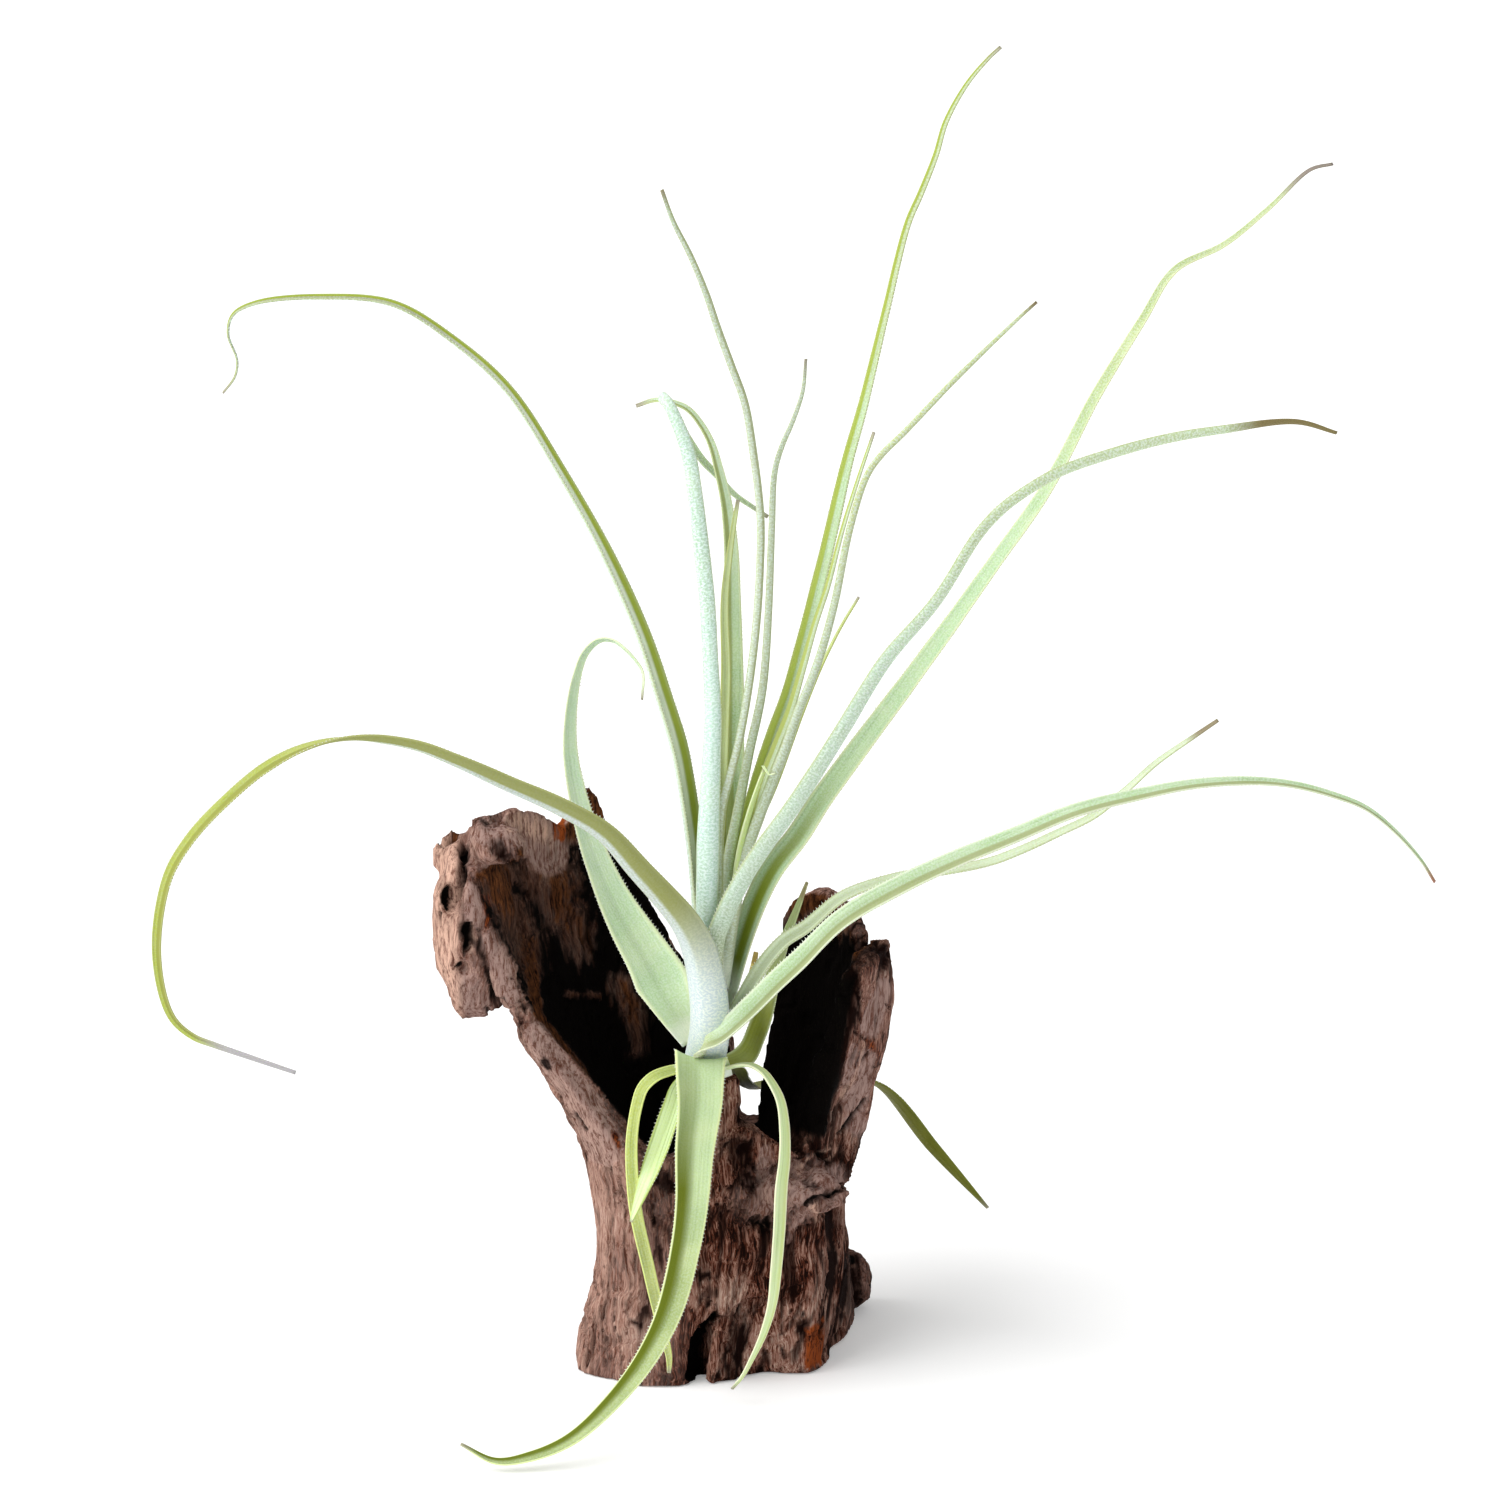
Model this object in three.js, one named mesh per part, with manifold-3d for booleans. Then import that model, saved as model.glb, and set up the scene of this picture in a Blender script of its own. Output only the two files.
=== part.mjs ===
// An air plant, Tillandsia straminea, resting on a hollow driftwood stump.
// Millimetres. +Z is up, +X is to the right and +Y is away from the viewer.
// The origin is the middle of the stump's foot, on the surface that it stands on.

import * as THREE from 'three';
import { mergeVertices } from 'three/addons/utils/BufferGeometryUtils.js';
import Module from 'manifold-3d';

const wasm = await Module();
wasm.setup();

// Driving dimensions of the plant
const STEM = {
  middle: new THREE.Vector3(-2, -28, 121), // on the stem's axis, where the lowest upright leaf leaves it
  direction: new THREE.Vector3(0.09, 0.08, 0.99).normalize(),
  bottom: -15, // heights along the axis, from the middle
  top: 46,
  bottomRadius: 5.5,
  topRadius: 1.8,
  sides: 12,
};
const BLADE = {
  ribThickness: 1.3, // along the middle of a leaf
  edgeThickness: 0.7, // along its margins and at its tip
  wide: 7, // a leaf over this width has more facets across
  free: 0.12, // of its length, after which the channel's middle and not its bottom follows the route
  frames: 160, // places that the midrib is worked out at
  sectionStep: 34, // longest stretch between two sections
  sectionBend: THREE.MathUtils.degToRad(16), // most that the midrib turns between two sections
};
const CLEARANCE = 0.35; // between a leaf and what it grows against

// Leaf routes are laid out on a front view, seen from VIEW.distance away and VIEW.tilt above the level:
// across and rise are measured at the scale of the view's middle, from the stump's foot, and back is
// the real distance away from the viewer.
const VIEW = {
  distance: 2000,
  tilt: THREE.MathUtils.degToRad(18),
  middle: new THREE.Vector3(14.1, 0, 213.2),
  across: 13.7, // of the view's middle
  rise: 196.3,
};

// Driving dimensions of the driftwood: a hollow trunk, open at the front, whose wall flares out to the left
const TRUNK = {
  stations: 90, // round the trunk
  outerLevels: 13,
  innerLevels: 8,
  floor: 44, // height of the bottom of the hollow
  // Outer radius at every 30 degrees from +X towards +Y, for each height
  radii: [
    [0, [41, 55, 44, 40, 42, 44, 46, 50, 41, 31, 29, 41]],
    [14, [43, 54, 43, 39, 41, 43, 44, 47, 39, 33, 32, 43]],
    [32, [45, 49, 42, 39, 41, 42, 40, 42, 38, 35, 35, 44]],
    [55, [44, 45, 42, 38, 41, 42, 40, 41, 38, 36, 37, 43]],
    [75, [50, 49, 42, 38, 42, 44, 43, 44, 41, 37, 38, 42]],
    [100, [55, 52, 43, 38, 43, 48, 55, 54, 47, 39, 40, 46]],
    [125, [59, 54, 44, 39, 44, 52, 66, 68, 56, 42, 44, 54]],
    [150, [58, 52, 44, 40, 46, 56, 74, 76, 60, 44, 48, 58]],
    [192, [56, 50, 44, 42, 48, 60, 80, 82, 62, 46, 50, 58]],
  ],
  // Height of the broken rim, as angle and height
  rim: [
    [0, 147], [12, 139], [22, 150], [38, 156], [48, 152], [52, 146], [56, 108], [60, 72], [76, 71], [80, 98],
    [98, 118], [119, 143], [131, 164], [138, 172], [141, 195], [146, 192], [150, 178], [158, 184], [167, 190],
    [180, 191], [187, 184], [193, 146], [198, 129], [204, 119], [214, 103], [226, 86], [240, 82], [256, 85],
    [270, 90], [290, 94], [306, 86], [320, 80], [324, 85], [328, 138], [333, 150], [352, 151], [360, 147],
  ],
  // Thickness of the wall, as height and thickness
  wall: [[44, 21], [60, 17], [75, 14], [95, 11], [120, 9], [150, 7], [192, 5]],
};
const HEAD = { middle: [-81, -1, 156], reach: [14, 19, 31], lump: 0.1, detail: 3 }; // the burl at the upper left
const BURLS = [
  { middle: [31, -31, 69], reach: [14, 8, 8], lump: 0.15, detail: 3 }, // smooth lip at the front right
  { middle: [46, 34, 10], reach: [9, 9, 11], lump: 0.15, detail: 2 }, // root at the right back
  { middle: [-72, -12, 186], reach: [10, 8, 7], lump: 0.15, detail: 2 }, // knobs on the head
  { middle: [-88, 2, 178], reach: [7, 9, 8], lump: 0.15, detail: 2 },
];
const HOLES = [
  { middle: [-88, -16, 168], reach: [3, 8, 6] }, // knot holes in the head
  { middle: [-84, -19, 144], reach: [3, 7, 4] },
  { middle: [-1, -32, 8], reach: [8, 9, 13], lump: 0.2 }, // rotted slot in the front of the foot
  { middle: [47, -26, 56], reach: [2, 12, 8] }, // crack under the lip
];
const POST = { foot: [1, -30, 78], height: 33, footRadius: 11, topRadius: 7.5, depth: 0.62, sides: 9 };

function fromView([across, rise, back]) {
  const tan = Math.tan(VIEW.tilt);
  const cos = Math.cos(VIEW.tilt);
  const sin = Math.sin(VIEW.tilt);
  const right = across - VIEW.across;
  const up = rise - VIEW.rise;
  const spread = (VIEW.distance + back / cos) / (VIEW.distance + up * tan);
  const height = (up * spread - back * sin) / cos;
  return new THREE.Vector3(
    VIEW.middle.x + right * spread,
    VIEW.middle.y + back,
    VIEW.middle.z + height,
  );
}

// Every leaf, from the top of the stem down. seat is the height on the stem and the compass angle that
// the leaf leaves it at, counted from +X towards +Y. route continues from the seat to the tip. width is
// the distance between the margins, curl the angle that the blade's channel turns through, and twist
// the turn about the midrib, each at even steps from the base to the tip.
const LEAVES = {
  leaf_heart_small: {
    seat: [40, 20],
    route: [[12.3, 167.7, -24], [20.7, 187.7, -23.5], [29.3, 211, -21.5], [35.7, 226.7, -20], [42, 239.3, -18.5],
      [48, 249.3, -17]],
    width: [2, 2.3, 2.3, 2, 1.7, 1.2],
    curl: [60, 60, 40],
    twist: [0],
  },
  leaf_heart_young: {
    seat: [38, 340],
    route: [[8.7, 165, -29], [11, 175, -29.5], [14, 185, -30], [16.7, 192.3, -30]],
    width: [3.4, 4.2, 4.2, 3.6, 1.8],
    curl: [90, 80, 60],
    twist: [0],
  },
  leaf_heart_slim: {
    seat: [34, 30],
    route: [[15.7, 186.7, -25], [20, 198.3, -23], [25, 211, -21], [29.3, 225.7, -19], [33.3, 240, -17],
      [37.7, 253.3, -15], [42.3, 271, -12], [47.3, 287.3, -10], [53, 304.3, -8]],
    width: [3.5, 4.3, 4.2, 3.6, 2.8, 2.2, 1.6, 1.1],
    curl: [110, 90, 60],
    twist: [15],
  },
  leaf_heart_olive: {
    seat: [34, 95],
    route: [[2.3, 181.7, -25], [3, 200.7, -22], [3.7, 224.7, -18], [3.3, 248.3, -14], [5.3, 266.7, -11],
      [7.7, 281.7, -9]],
    width: [3.2, 3.4, 3.4, 3.2, 2.4, 1.1],
    curl: [110, 90, 60],
    twist: [0],
  },
  leaf_back_folded: {
    seat: [30, 105],
    route: [[6.5, 172, -13], [6, 196, -9], [6, 224.7, -4], [5.7, 245, -1], [5.3, 266.7, 0], [3.7, 281, 0],
      [1.3, 291.7, -1], [-1.3, 300.7, -1], [-4.7, 307, -1], [-9, 312, -1], [-14.3, 314.3, 0], [-20, 315, 1],
      [-26.3, 313, 2]],
    width: [6, 7, 7.4, 7.2, 6, 4, 2.2, 1.1],
    curl: [100, 70, 80],
    twist: [0],
  },
  leaf_tallest: {
    seat: [28, 60],
    route: [[10, 168.3, -20], [14.3, 185, -18], [19.7, 201.7, -16], [25, 216.7, -14], [29.3, 232.3, -11],
      [36.7, 262, -6], [43.7, 292, -1], [49.7, 314, 3], [57.3, 345.7, 9], [64.3, 373.7, 15], [68.7, 384, 17],
      [73.7, 396.7, 20], [77, 407.7, 22], [84, 420.3, 25], [91.3, 429, 27], [95.3, 432.7, 28]],
    width: [5, 6, 6.4, 5.8, 5.2, 4.6, 3.6, 2.8, 2.3, 1.8, 1.1],
    curl: [110, 80, 90],
    twist: [0],
  },
  leaf_upright_round: {
    seat: [26, 350],
    route: [[4.7, 160, -27], [7.7, 177, -25], [11.3, 196, -23], [16, 218.7, -20], [18, 245, -17], [19, 271.7, -14],
      [20, 291, -12], [22.3, 299.3, -11], [26.3, 308.7, -10], [29.3, 318, -9], [30.3, 328.7, -8]],
    width: [5, 5.2, 4.3, 3.6, 3.2, 3, 2.6, 2.2, 1.1],
    curl: [120, 120, 80],
    twist: [-35],
  },
  leaf_upright_thin: {
    seat: [22, 300],
    route: [[2.3, 176.7, -31], [5.3, 190, -30], [8, 200.7, -29], [11.7, 221.7, -27], [14, 241.3, -26],
      [15, 256.7, -25], [15.3, 275.7, -24], [12.7, 298.7, -24], [10, 314, -25], [5.7, 326, -26], [1.3, 338, -28],
      [-3, 350.7, -30], [-8, 362.7, -32], [-14, 374.7, -34], [-17.7, 385, -36]],
    width: [3, 2.9, 2.8, 2.7, 2.6, 2.5, 2.2, 1.1],
    curl: [120, 110, 80],
    twist: [0],
  },
  leaf_right_slim: {
    seat: [20, 335],
    route: [[9.3, 159, -29], [15.3, 177, -29], [19.7, 188.7, -28], [23.7, 199, -27], [28, 211.3, -26],
      [32.7, 222.7, -25], [36.3, 233.3, -24], [40, 247.3, -23], [45.3, 273, -21], [50.7, 289.7, -19],
      [55, 296, -18], [63.3, 304.3, -17], [80, 321.7, -15], [101.7, 342.7, -12], [107.3, 347.7, -11]],
    width: [4.5, 4.8, 4.4, 3.6, 3, 2.6, 2.4, 2.1, 1.1],
    curl: [120, 110, 80],
    twist: [-30],
  },
  leaf_left_arch: {
    seat: [16, 170],
    route: [[-6, 155, -24], [-8.3, 175, -22], [-12.3, 198.3, -20], [-18.3, 218.3, -18], [-25, 238.3, -15],
      [-37.7, 266.3, -12], [-51, 290.3, -8], [-69, 318.3, -4], [-87, 334.7, 0], [-107.3, 347, 3],
      [-131.7, 349.3, 6], [-153, 347.3, 8], [-160.7, 343.3, 9], [-162.3, 336.7, 9], [-159.3, 328.3, 8],
      [-160, 322.7, 8], [-164, 317.3, 8]],
    width: [9, 9.5, 9, 7.2, 5.2, 4.2, 3.4, 2.6, 1.1],
    curl: [120, 140, 120],
    twist: [-18],
  },
  leaf_centre_upright: {
    seat: [12, 262],
    route: [[-2.8, 141, -36], [-2.3, 168, -36], [-1.7, 185.7, -34], [-0.8, 209.7, -31], [-1.5, 226.3, -28],
      [-2.8, 248.7, -24], [-4.7, 266.3, -20], [-7, 285.3, -16], [-9, 297.3, -13], [-13, 308.3, -11],
      [-16, 314.3, -9], [-18, 316.3, -6], [-16.3, 314, -2], [-13, 308.3, 2], [-8.3, 300.7, 5], [-4, 294.7, 8],
      [0.3, 290.3, 11], [6.3, 283.7, 13], [12, 279.7, 15], [17.7, 276, 16]],
    width: [7, 7, 7.3, 5.7, 4.8, 5, 4.6, 3.2, 2.4, 1.1],
    curl: [130, 130, 120, 90],
    twist: [0],
  },
  leaf_right_tall: {
    seat: [10, 15],
    route: [[9.7, 134.7, -25], [14.3, 148.3, -25], [19.7, 159, -24], [28, 169.7, -21], [36.7, 183, -18],
      [54, 206.7, -13], [74, 233.7, -7], [93, 260.3, -1], [111, 286, 5], [127, 316.3, 11], [142.3, 341.3, 16],
      [153.3, 358.3, 19], [170, 367, 22], [184.7, 379, 25], [198.3, 391.7, 28], [206, 393.7, 30]],
    width: [9, 11, 10, 8.5, 7, 5.8, 5, 4.2, 3, 2, 1.1],
    curl: [70, 50, 60],
    twist: [20, 30, 30, 30],
  },
  leaf_right_bent: {
    seat: [8, 300],
    route: [[0.3, 133.3, -38], [4, 144, -39], [9.7, 155, -40], [17, 166.3, -41], [28, 181.7, -42], [42.3, 204, -43],
      [56.7, 227.3, -43], [74.3, 248.3, -42], [88, 270, -40], [96, 278.7, -38], [105.7, 285.7, -36],
      [115.3, 291, -34], [130, 296.3, -31], [149.7, 301.7, -27], [169.3, 305, -24], [193.7, 307.7, -20],
      [207.3, 304, -18]],
    width: [7, 7.6, 7, 6.2, 5.4, 4.4, 4.1, 4, 3.2, 1.1],
    curl: [110, 110, 90],
    twist: [0],
  },
  leaf_left_broad: {
    seat: [0, 160],
    route: [[-14.3, 113.3, -22], [-21, 126.7, -14], [-29, 140, -7], [-36.3, 154.3, -1], [-42.3, 170, 3],
      [-46.3, 185, 6], [-48.3, 198.3, 8], [-48, 211.7, 8], [-46, 223.3, 7], [-43, 231, 6], [-38.3, 235, 4],
      [-33.7, 234.7, 2], [-30, 232, 0], [-26.3, 228, -1], [-24, 224, -2], [-24.3, 215, -3]],
    width: [8, 19, 14.5, 9.6, 7, 5, 3.4, 2.4, 1.1],
    curl: [60, 50, 60, 90],
    twist: [-45, -42, -40, -40, -60],
  },
  leaf_right_twisted: {
    seat: [4, 335],
    route: [[11.3, 118.3, -34], [16, 126, -33], [23, 134.3, -32], [30.7, 139.3, -31], [43.3, 149.7, -30],
      [61.7, 156, -28], [76.7, 158, -27], [91.7, 161, -26], [102.3, 165, -25], [115.3, 171, -24],
      [126, 176.3, -22], [136.7, 184.7, -20], [147, 194, -18], [160.3, 203.3, -16], [167.7, 208.3, -15]],
    width: [4, 3.8, 3.4, 3.2, 2.6, 2.4, 2.2, 1.8, 1.1],
    curl: [90, 80, 60],
    twist: [20],
  },
  leaf_dry_stub: {
    seat: [4, 70],
    route: [[10, 115, -16], [12.3, 123.3, -14], [13.7, 131, -12]],
    width: [4, 4.5, 3, 1.6],
    curl: [60, 40],
    twist: [0],
  },
  leaf_left_low_arch: {
    seat: [-9, 238],
    route: [[-3.3, 104, -41], [-3.3, 116, -43], [-5.3, 129.7, -44], [-9.7, 139.3, -46], [-17.3, 149, -48],
      [-25.7, 158.3, -50], [-36.7, 170.3, -52], [-49.3, 178, -54], [-70, 187.3, -57], [-85.7, 194.3, -59],
      [-101.3, 200, -60], [-122, 202.3, -62], [-136.7, 199, -63], [-150.3, 192, -64], [-163.7, 180.7, -65],
      [-175.3, 168, -65], [-182.7, 154.7, -65], [-186, 129.7, -65], [-181.3, 109.7, -65], [-174.3, 103, -65],
      [-167, 100, -66], [-153.3, 95.3, -67], [-139.7, 90.7, -68]],
    width: [14.5, 13.5, 9.2, 6.8, 6, 4.7, 4.1, 4.1, 3.4, 2.2, 1.1],
    curl: [140, 110, 80, 80, 80],
    twist: [0, 10, 20, 25, 20, 0, -40, -70, -85, -95, -95],
  },
  leaf_right_low_arc: {
    seat: [-1, 285],
    route: [[-3.5, 100.5, -44.5], [2, 103, -47], [8, 108.3, -47.5], [14, 114.3, -47], [20, 120.3, -46],
      [28.3, 128, -45], [41.7, 141.3, -44], [61.3, 153, -43], [81.3, 162.3, -41], [101, 170.3, -39], [120.7, 178.3, -37],
      [140.7, 183.3, -35], [160.3, 187, -33], [180, 188, -31], [193.3, 186.7, -30], [206.3, 183.3, -29],
      [217, 179, -28], [226.3, 171.7, -27], [235.3, 161.7, -26], [240, 154.3, -25]],
    width: [11, 9.5, 8, 7, 6, 5, 3.9, 2.9, 2, 1.1],
    curl: [90, 60, 60],
    twist: [60, 95, 95, 95],
  },
  leaf_back_upright: {
    seat: [-9, 58],
    route: [[10.5, 96.5, -16], [14.3, 104, -17], [17, 112, -17], [19.3, 121.5, -16], [23, 133.7, -14], [28, 147, -12], [30.7, 154.3, -11]],
    width: [4, 8.5, 8.7, 7.2, 5, 3, 1.1],
    curl: [90, 80, 60],
    twist: [25],
  },
  leaf_front_hanging: {
    seat: [-10, 262],
    route: [[-5, 95.5, -43], [-5, 90, -46.5], [-5, 81.7, -48], [-6.7, 65, -51], [-7.7, 48.3, -57], [-10, 31.7, -63], [-15, 11.7, -73],
      [-23.3, -5, -83], [-35, -20, -92], [-48.3, -31.7, -99], [-61.7, -37.3, -102], [-73.3, -38.7, -103],
      [-84.7, -33, -102]],
    width: [19, 15.5, 12.5, 10.3, 8.6, 6.9, 5.2, 4, 1.1],
    curl: [60, 50, 50],
    twist: [0, 0, 0, 10, 25, 35, 45],
  },
  leaf_back_hanging: {
    seat: [-10, 80],
    route: [[6, 92.5, -11], [8, 89, 4], [10, 87, 20], [12.7, 86, 36], [20.5, 87.5, 48], [38, 89.5, 55], [54.3, 86.7, 59],
      [73, 65.5, 61], [91, 45.7, 62]],
    width: [7, 7, 6.5, 6.5, 7.5, 8, 5, 1.1],
    curl: [60, 40, 40],
    twist: [0, 0, 0, 0, -20, -50, -60],
  },
  leaf_front_right_hanging: {
    seat: [-7, 310],
    route: [[4, 92.3, -38], [7.7, 93.3, -41], [12, 93.3, -44], [16, 91, -46], [19, 87, -48], [21.7, 81.3, -49],
      [23, 72, -50], [23, 62, -51], [22, 52.3, -52], [21.3, 37.7, -53], [20.3, 25, -53], [19, 13.3, -53],
      [16, 3.3, -52], [12, -5.3, -50], [9.3, -10.3, -49], [5.7, -14.7, -48]],
    width: [4.5, 3, 4.5, 6, 6, 5.2, 4.5, 3.8, 3, 2, 1.1],
    curl: [80, 60, 60],
    twist: [0, 20, 50, 50],
  },
  leaf_front_left_long: {
    seat: [-8, 205],
    route: [[-15.7, 91, -38], [-20.3, 89.3, -41], [-24, 85.7, -43], [-26, 80, -45], [-27.7, 68.3, -47],
      [-27.3, 53.3, -48], [-26, 42.7, -49], [-22, 25, -49], [-19.7, 15, -48], [-17.3, 4.3, -46], [-15.3, -4, -45],
      [-15.3, -9.3, -44]],
    width: [4.5, 4.5, 4, 3.6, 3.4, 3.2, 3, 2.6, 1.1],
    curl: [70, 60, 60],
    twist: [-20],
  },
  leaf_front_left_short: {
    seat: [-9, 235],
    route: [[-11.7, 85.7, -37], [-13.7, 80, -40], [-16, 73.3, -42.5], [-18.7, 65.7, -45.5], [-21.7, 57.7, -49],
      [-24.7, 50, -52], [-28, 41, -54]],
    width: [6, 7, 8, 8.3, 7, 4.5, 1.1],
    curl: [60, 50, 50],
    twist: [0],
  },
};

// The leaves in the order in which they keep their whole form: the outermost first. A later leaf is
// trimmed where an earlier one lies against it.
const OUTER_FIRST = [
  'leaf_front_hanging', 'leaf_right_low_arc', 'leaf_left_low_arch', 'leaf_front_right_hanging',
  'leaf_front_left_short', 'leaf_front_left_long', 'leaf_left_broad', 'leaf_right_bent', 'leaf_right_tall',
  'leaf_centre_upright', 'leaf_left_arch', 'leaf_back_hanging', 'leaf_back_upright', 'leaf_right_twisted',
  'leaf_dry_stub', 'leaf_back_folded', 'leaf_tallest', 'leaf_upright_round', 'leaf_upright_thin',
  'leaf_right_slim', 'leaf_heart_slim', 'leaf_heart_olive', 'leaf_heart_young', 'leaf_heart_small',
];

// A value from an evenly spaced list at a fraction from 0 to 1.
function valueAt(list, fraction) {
  const place = THREE.MathUtils.clamp(fraction, 0, 1) * (list.length - 1);
  const index = Math.min(Math.floor(place), Math.max(list.length - 2, 0));
  const next = Math.min(index + 1, list.length - 1);
  return THREE.MathUtils.lerp(list[index], list[next], place - index);
}

function stemRadius(height) {
  const share = (height - STEM.bottom) / (STEM.top - STEM.bottom);
  return THREE.MathUtils.lerp(STEM.bottomRadius, STEM.topRadius, share);
}

// The point on the stem where a leaf starts, and the direction out of the stem there.
function seatOf([height, degrees]) {
  const angle = THREE.MathUtils.degToRad(degrees);
  const out = new THREE.Vector3(Math.cos(angle), Math.sin(angle), 0);
  out.addScaledVector(STEM.direction, -out.dot(STEM.direction)).normalize();
  const point = STEM.middle.clone().addScaledVector(STEM.direction, height);
  point.addScaledVector(out, stemRadius(height) + BLADE.ribThickness / 2 + CLEARANCE);
  return { point, out };
}

// The midrib's curve with a frame at each of a number of even steps: upper is the way that the leaf's
// upper face looks, which is at the stem's top side where the leaf starts, and is carried along unturned.
function midrib(leaf) {
  const seat = seatOf(leaf.seat);
  const curve = new THREE.CatmullRomCurve3([seat.point, ...leaf.route.map(fromView)], false, 'centripetal');
  curve.arcLengthDivisions = 400;
  const first = curve.getTangentAt(0);
  let upper = STEM.direction.clone().multiplyScalar(first.dot(seat.out));
  upper.addScaledVector(seat.out, -first.dot(STEM.direction));
  const frames = [];
  for (let step = 0; step <= BLADE.frames; step++) {
    const along = curve.getTangentAt(step / BLADE.frames);
    upper = upper.clone().addScaledVector(along, -upper.dot(along)).normalize();
    frames.push({ point: curve.getPointAt(step / BLADE.frames), along, upper });
  }
  return { frames, length: curve.getLength() };
}

// The frames that a blade gets its sections at, closer together where the midrib bends.
function sectionsOf({ frames, length }) {
  const reach = [0];
  for (let i = 1; i < frames.length; i++) {
    const bend = frames[i].along.angleTo(frames[i - 1].along) / BLADE.sectionBend;
    reach.push(reach[i - 1] + bend + length / BLADE.frames / BLADE.sectionStep);
  }
  const total = reach[reach.length - 1];
  const steps = Math.max(6, Math.round(total));
  const sections = [];
  for (let step = 0; step <= steps; step++) {
    sections.push(reach.findIndex((value) => value >= (total * step) / steps - 1e-6));
  }
  return sections;
}

// A leaf's blade as a closed solid, a thin box bent into the leaf: x runs across it, y through it and z
// along it. With room, it is that much larger all round.
function bladeGeometry(leaf, room = 0) {
  const fine = midrib(leaf);
  const sections = sectionsOf(fine);
  const facets = Math.max(...leaf.width) > BLADE.wide ? 4 : 3;
  const box = new THREE.BoxGeometry(2, 2, 1, facets, 1, sections.length - 1);
  const position = box.getAttribute('position');
  const place = new THREE.Vector3();
  for (let i = 0; i < position.count; i++) {
    place.fromBufferAttribute(position, i);
    const section = sections[Math.round((place.z + 0.5) * (sections.length - 1))];
    const fraction = section / BLADE.frames;
    const frame = fine.frames[section];
    const twist = THREE.MathUtils.degToRad(valueAt(leaf.twist, fraction));
    const upper = frame.upper.clone().applyAxisAngle(frame.along, twist);
    const side = upper.clone().cross(frame.along);
    const chord = valueAt(leaf.width, fraction) + 2 * room;
    const curl = THREE.MathUtils.degToRad(valueAt(leaf.curl, fraction));
    const radius = chord / 2 / Math.sin(curl / 2);
    const angle = (place.x * curl) / 2;
    const depth = radius * (1 - Math.cos(curl / 2)) * Math.min(1, fraction / BLADE.free);
    const share = Math.max(Math.abs(place.x), fraction);
    const thickness = THREE.MathUtils.lerp(BLADE.ribThickness, BLADE.edgeThickness, share) + 2 * room;
    const point = frame.point.clone();
    point.addScaledVector(side, radius * Math.sin(angle));
    point.addScaledVector(upper, radius * (1 - Math.cos(angle)) - depth / 2);
    point.addScaledVector(upper, (place.y * thickness * Math.cos(angle)) / 2);
    point.addScaledVector(side, (-place.y * thickness * Math.sin(angle)) / 2);
    point.addScaledVector(frame.along, place.z * 2 * room);
    position.setXYZ(i, point.x, point.y, point.z);
  }
  return box;
}

// The stem is a short tapered core with a rounded foot.
function stemGeometry(room = 0) {
  const height = STEM.top - STEM.bottom;
  const geometry = new THREE.CylinderGeometry(
    STEM.topRadius + room, STEM.bottomRadius + room, height + 2 * room, STEM.sides);
  geometry.rotateX(Math.PI / 2);
  geometry.translate(0, 0, STEM.bottom + height / 2);
  const turn = new THREE.Quaternion().setFromUnitVectors(new THREE.Vector3(0, 0, 1), STEM.direction);
  geometry.applyQuaternion(turn);
  geometry.translate(STEM.middle.x, STEM.middle.y, STEM.middle.z);
  return geometry;
}

// three.js geometry to a solid that can be joined and cut, and back.
function solidOf(geometry) {
  const bare = geometry.index ? geometry.clone() : geometry;
  bare.deleteAttribute('normal');
  bare.deleteAttribute('uv');
  const merged = mergeVertices(bare, 1e-3);
  const corners = merged.index.array;
  const kept = [];
  for (let i = 0; i < corners.length; i += 3) {
    const [a, b, c] = [corners[i], corners[i + 1], corners[i + 2]];
    if (a !== b && b !== c && c !== a) kept.push(a, b, c);
  }
  return new wasm.Manifold(new wasm.Mesh({
    numProp: 3,
    vertProperties: merged.getAttribute('position').array,
    triVerts: new Uint32Array(kept),
  }));
}

function geometryOf(solid) {
  const mesh = solid.getMesh();
  const geometry = new THREE.BufferGeometry();
  geometry.setAttribute('position', new THREE.BufferAttribute(mesh.vertProperties, 3));
  geometry.setIndex(new THREE.BufferAttribute(mesh.triVerts, 1));
  return geometry;
}

function largestBody(solid) {
  return solid.decompose().reduce((best, body) => (body.volume() > best.volume() ? body : best));
}

// A value from a list of [key, value] pairs in rising order of key.
function valueBetween(pairs, key) {
  const next = pairs.findIndex(([at]) => at > key);
  if (next === 0) return pairs[0][1];
  if (next < 0) return pairs[pairs.length - 1][1];
  const [low, from] = pairs[next - 1];
  const [high, to] = pairs[next];
  return THREE.MathUtils.mapLinear(key, low, high, from, to);
}

// A smooth value from a closed ring of even steps, at a fraction of the way round.
function ringValue(ring, turn) {
  const count = ring.length;
  const place = turn * count;
  const index = Math.floor(place);
  const share = place - index;
  const pick = (offset) => ring[(index + offset + count) % count];
  const [a, b, c, d] = [pick(-1), pick(0), pick(1), pick(2)];
  return b + 0.5 * share * (c - a + share * (2 * a - 5 * b + 4 * c - d + share * (3 * (b - c) + d - a)));
}

// The grain of the weathered wood: ridges that run up the trunk and lean a little.
function grain(angle, height) {
  const lean = height * 0.012;
  const coarse = Math.sin(9 * angle + lean + 1.3) + 0.6 * Math.sin(16 * angle - 2 * lean);
  const knotty = Math.sin(height * 0.11 + 3 * angle) * Math.sin(5 * angle + 0.7);
  return 0.9 * coarse + 0.9 * knotty;
}

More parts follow.
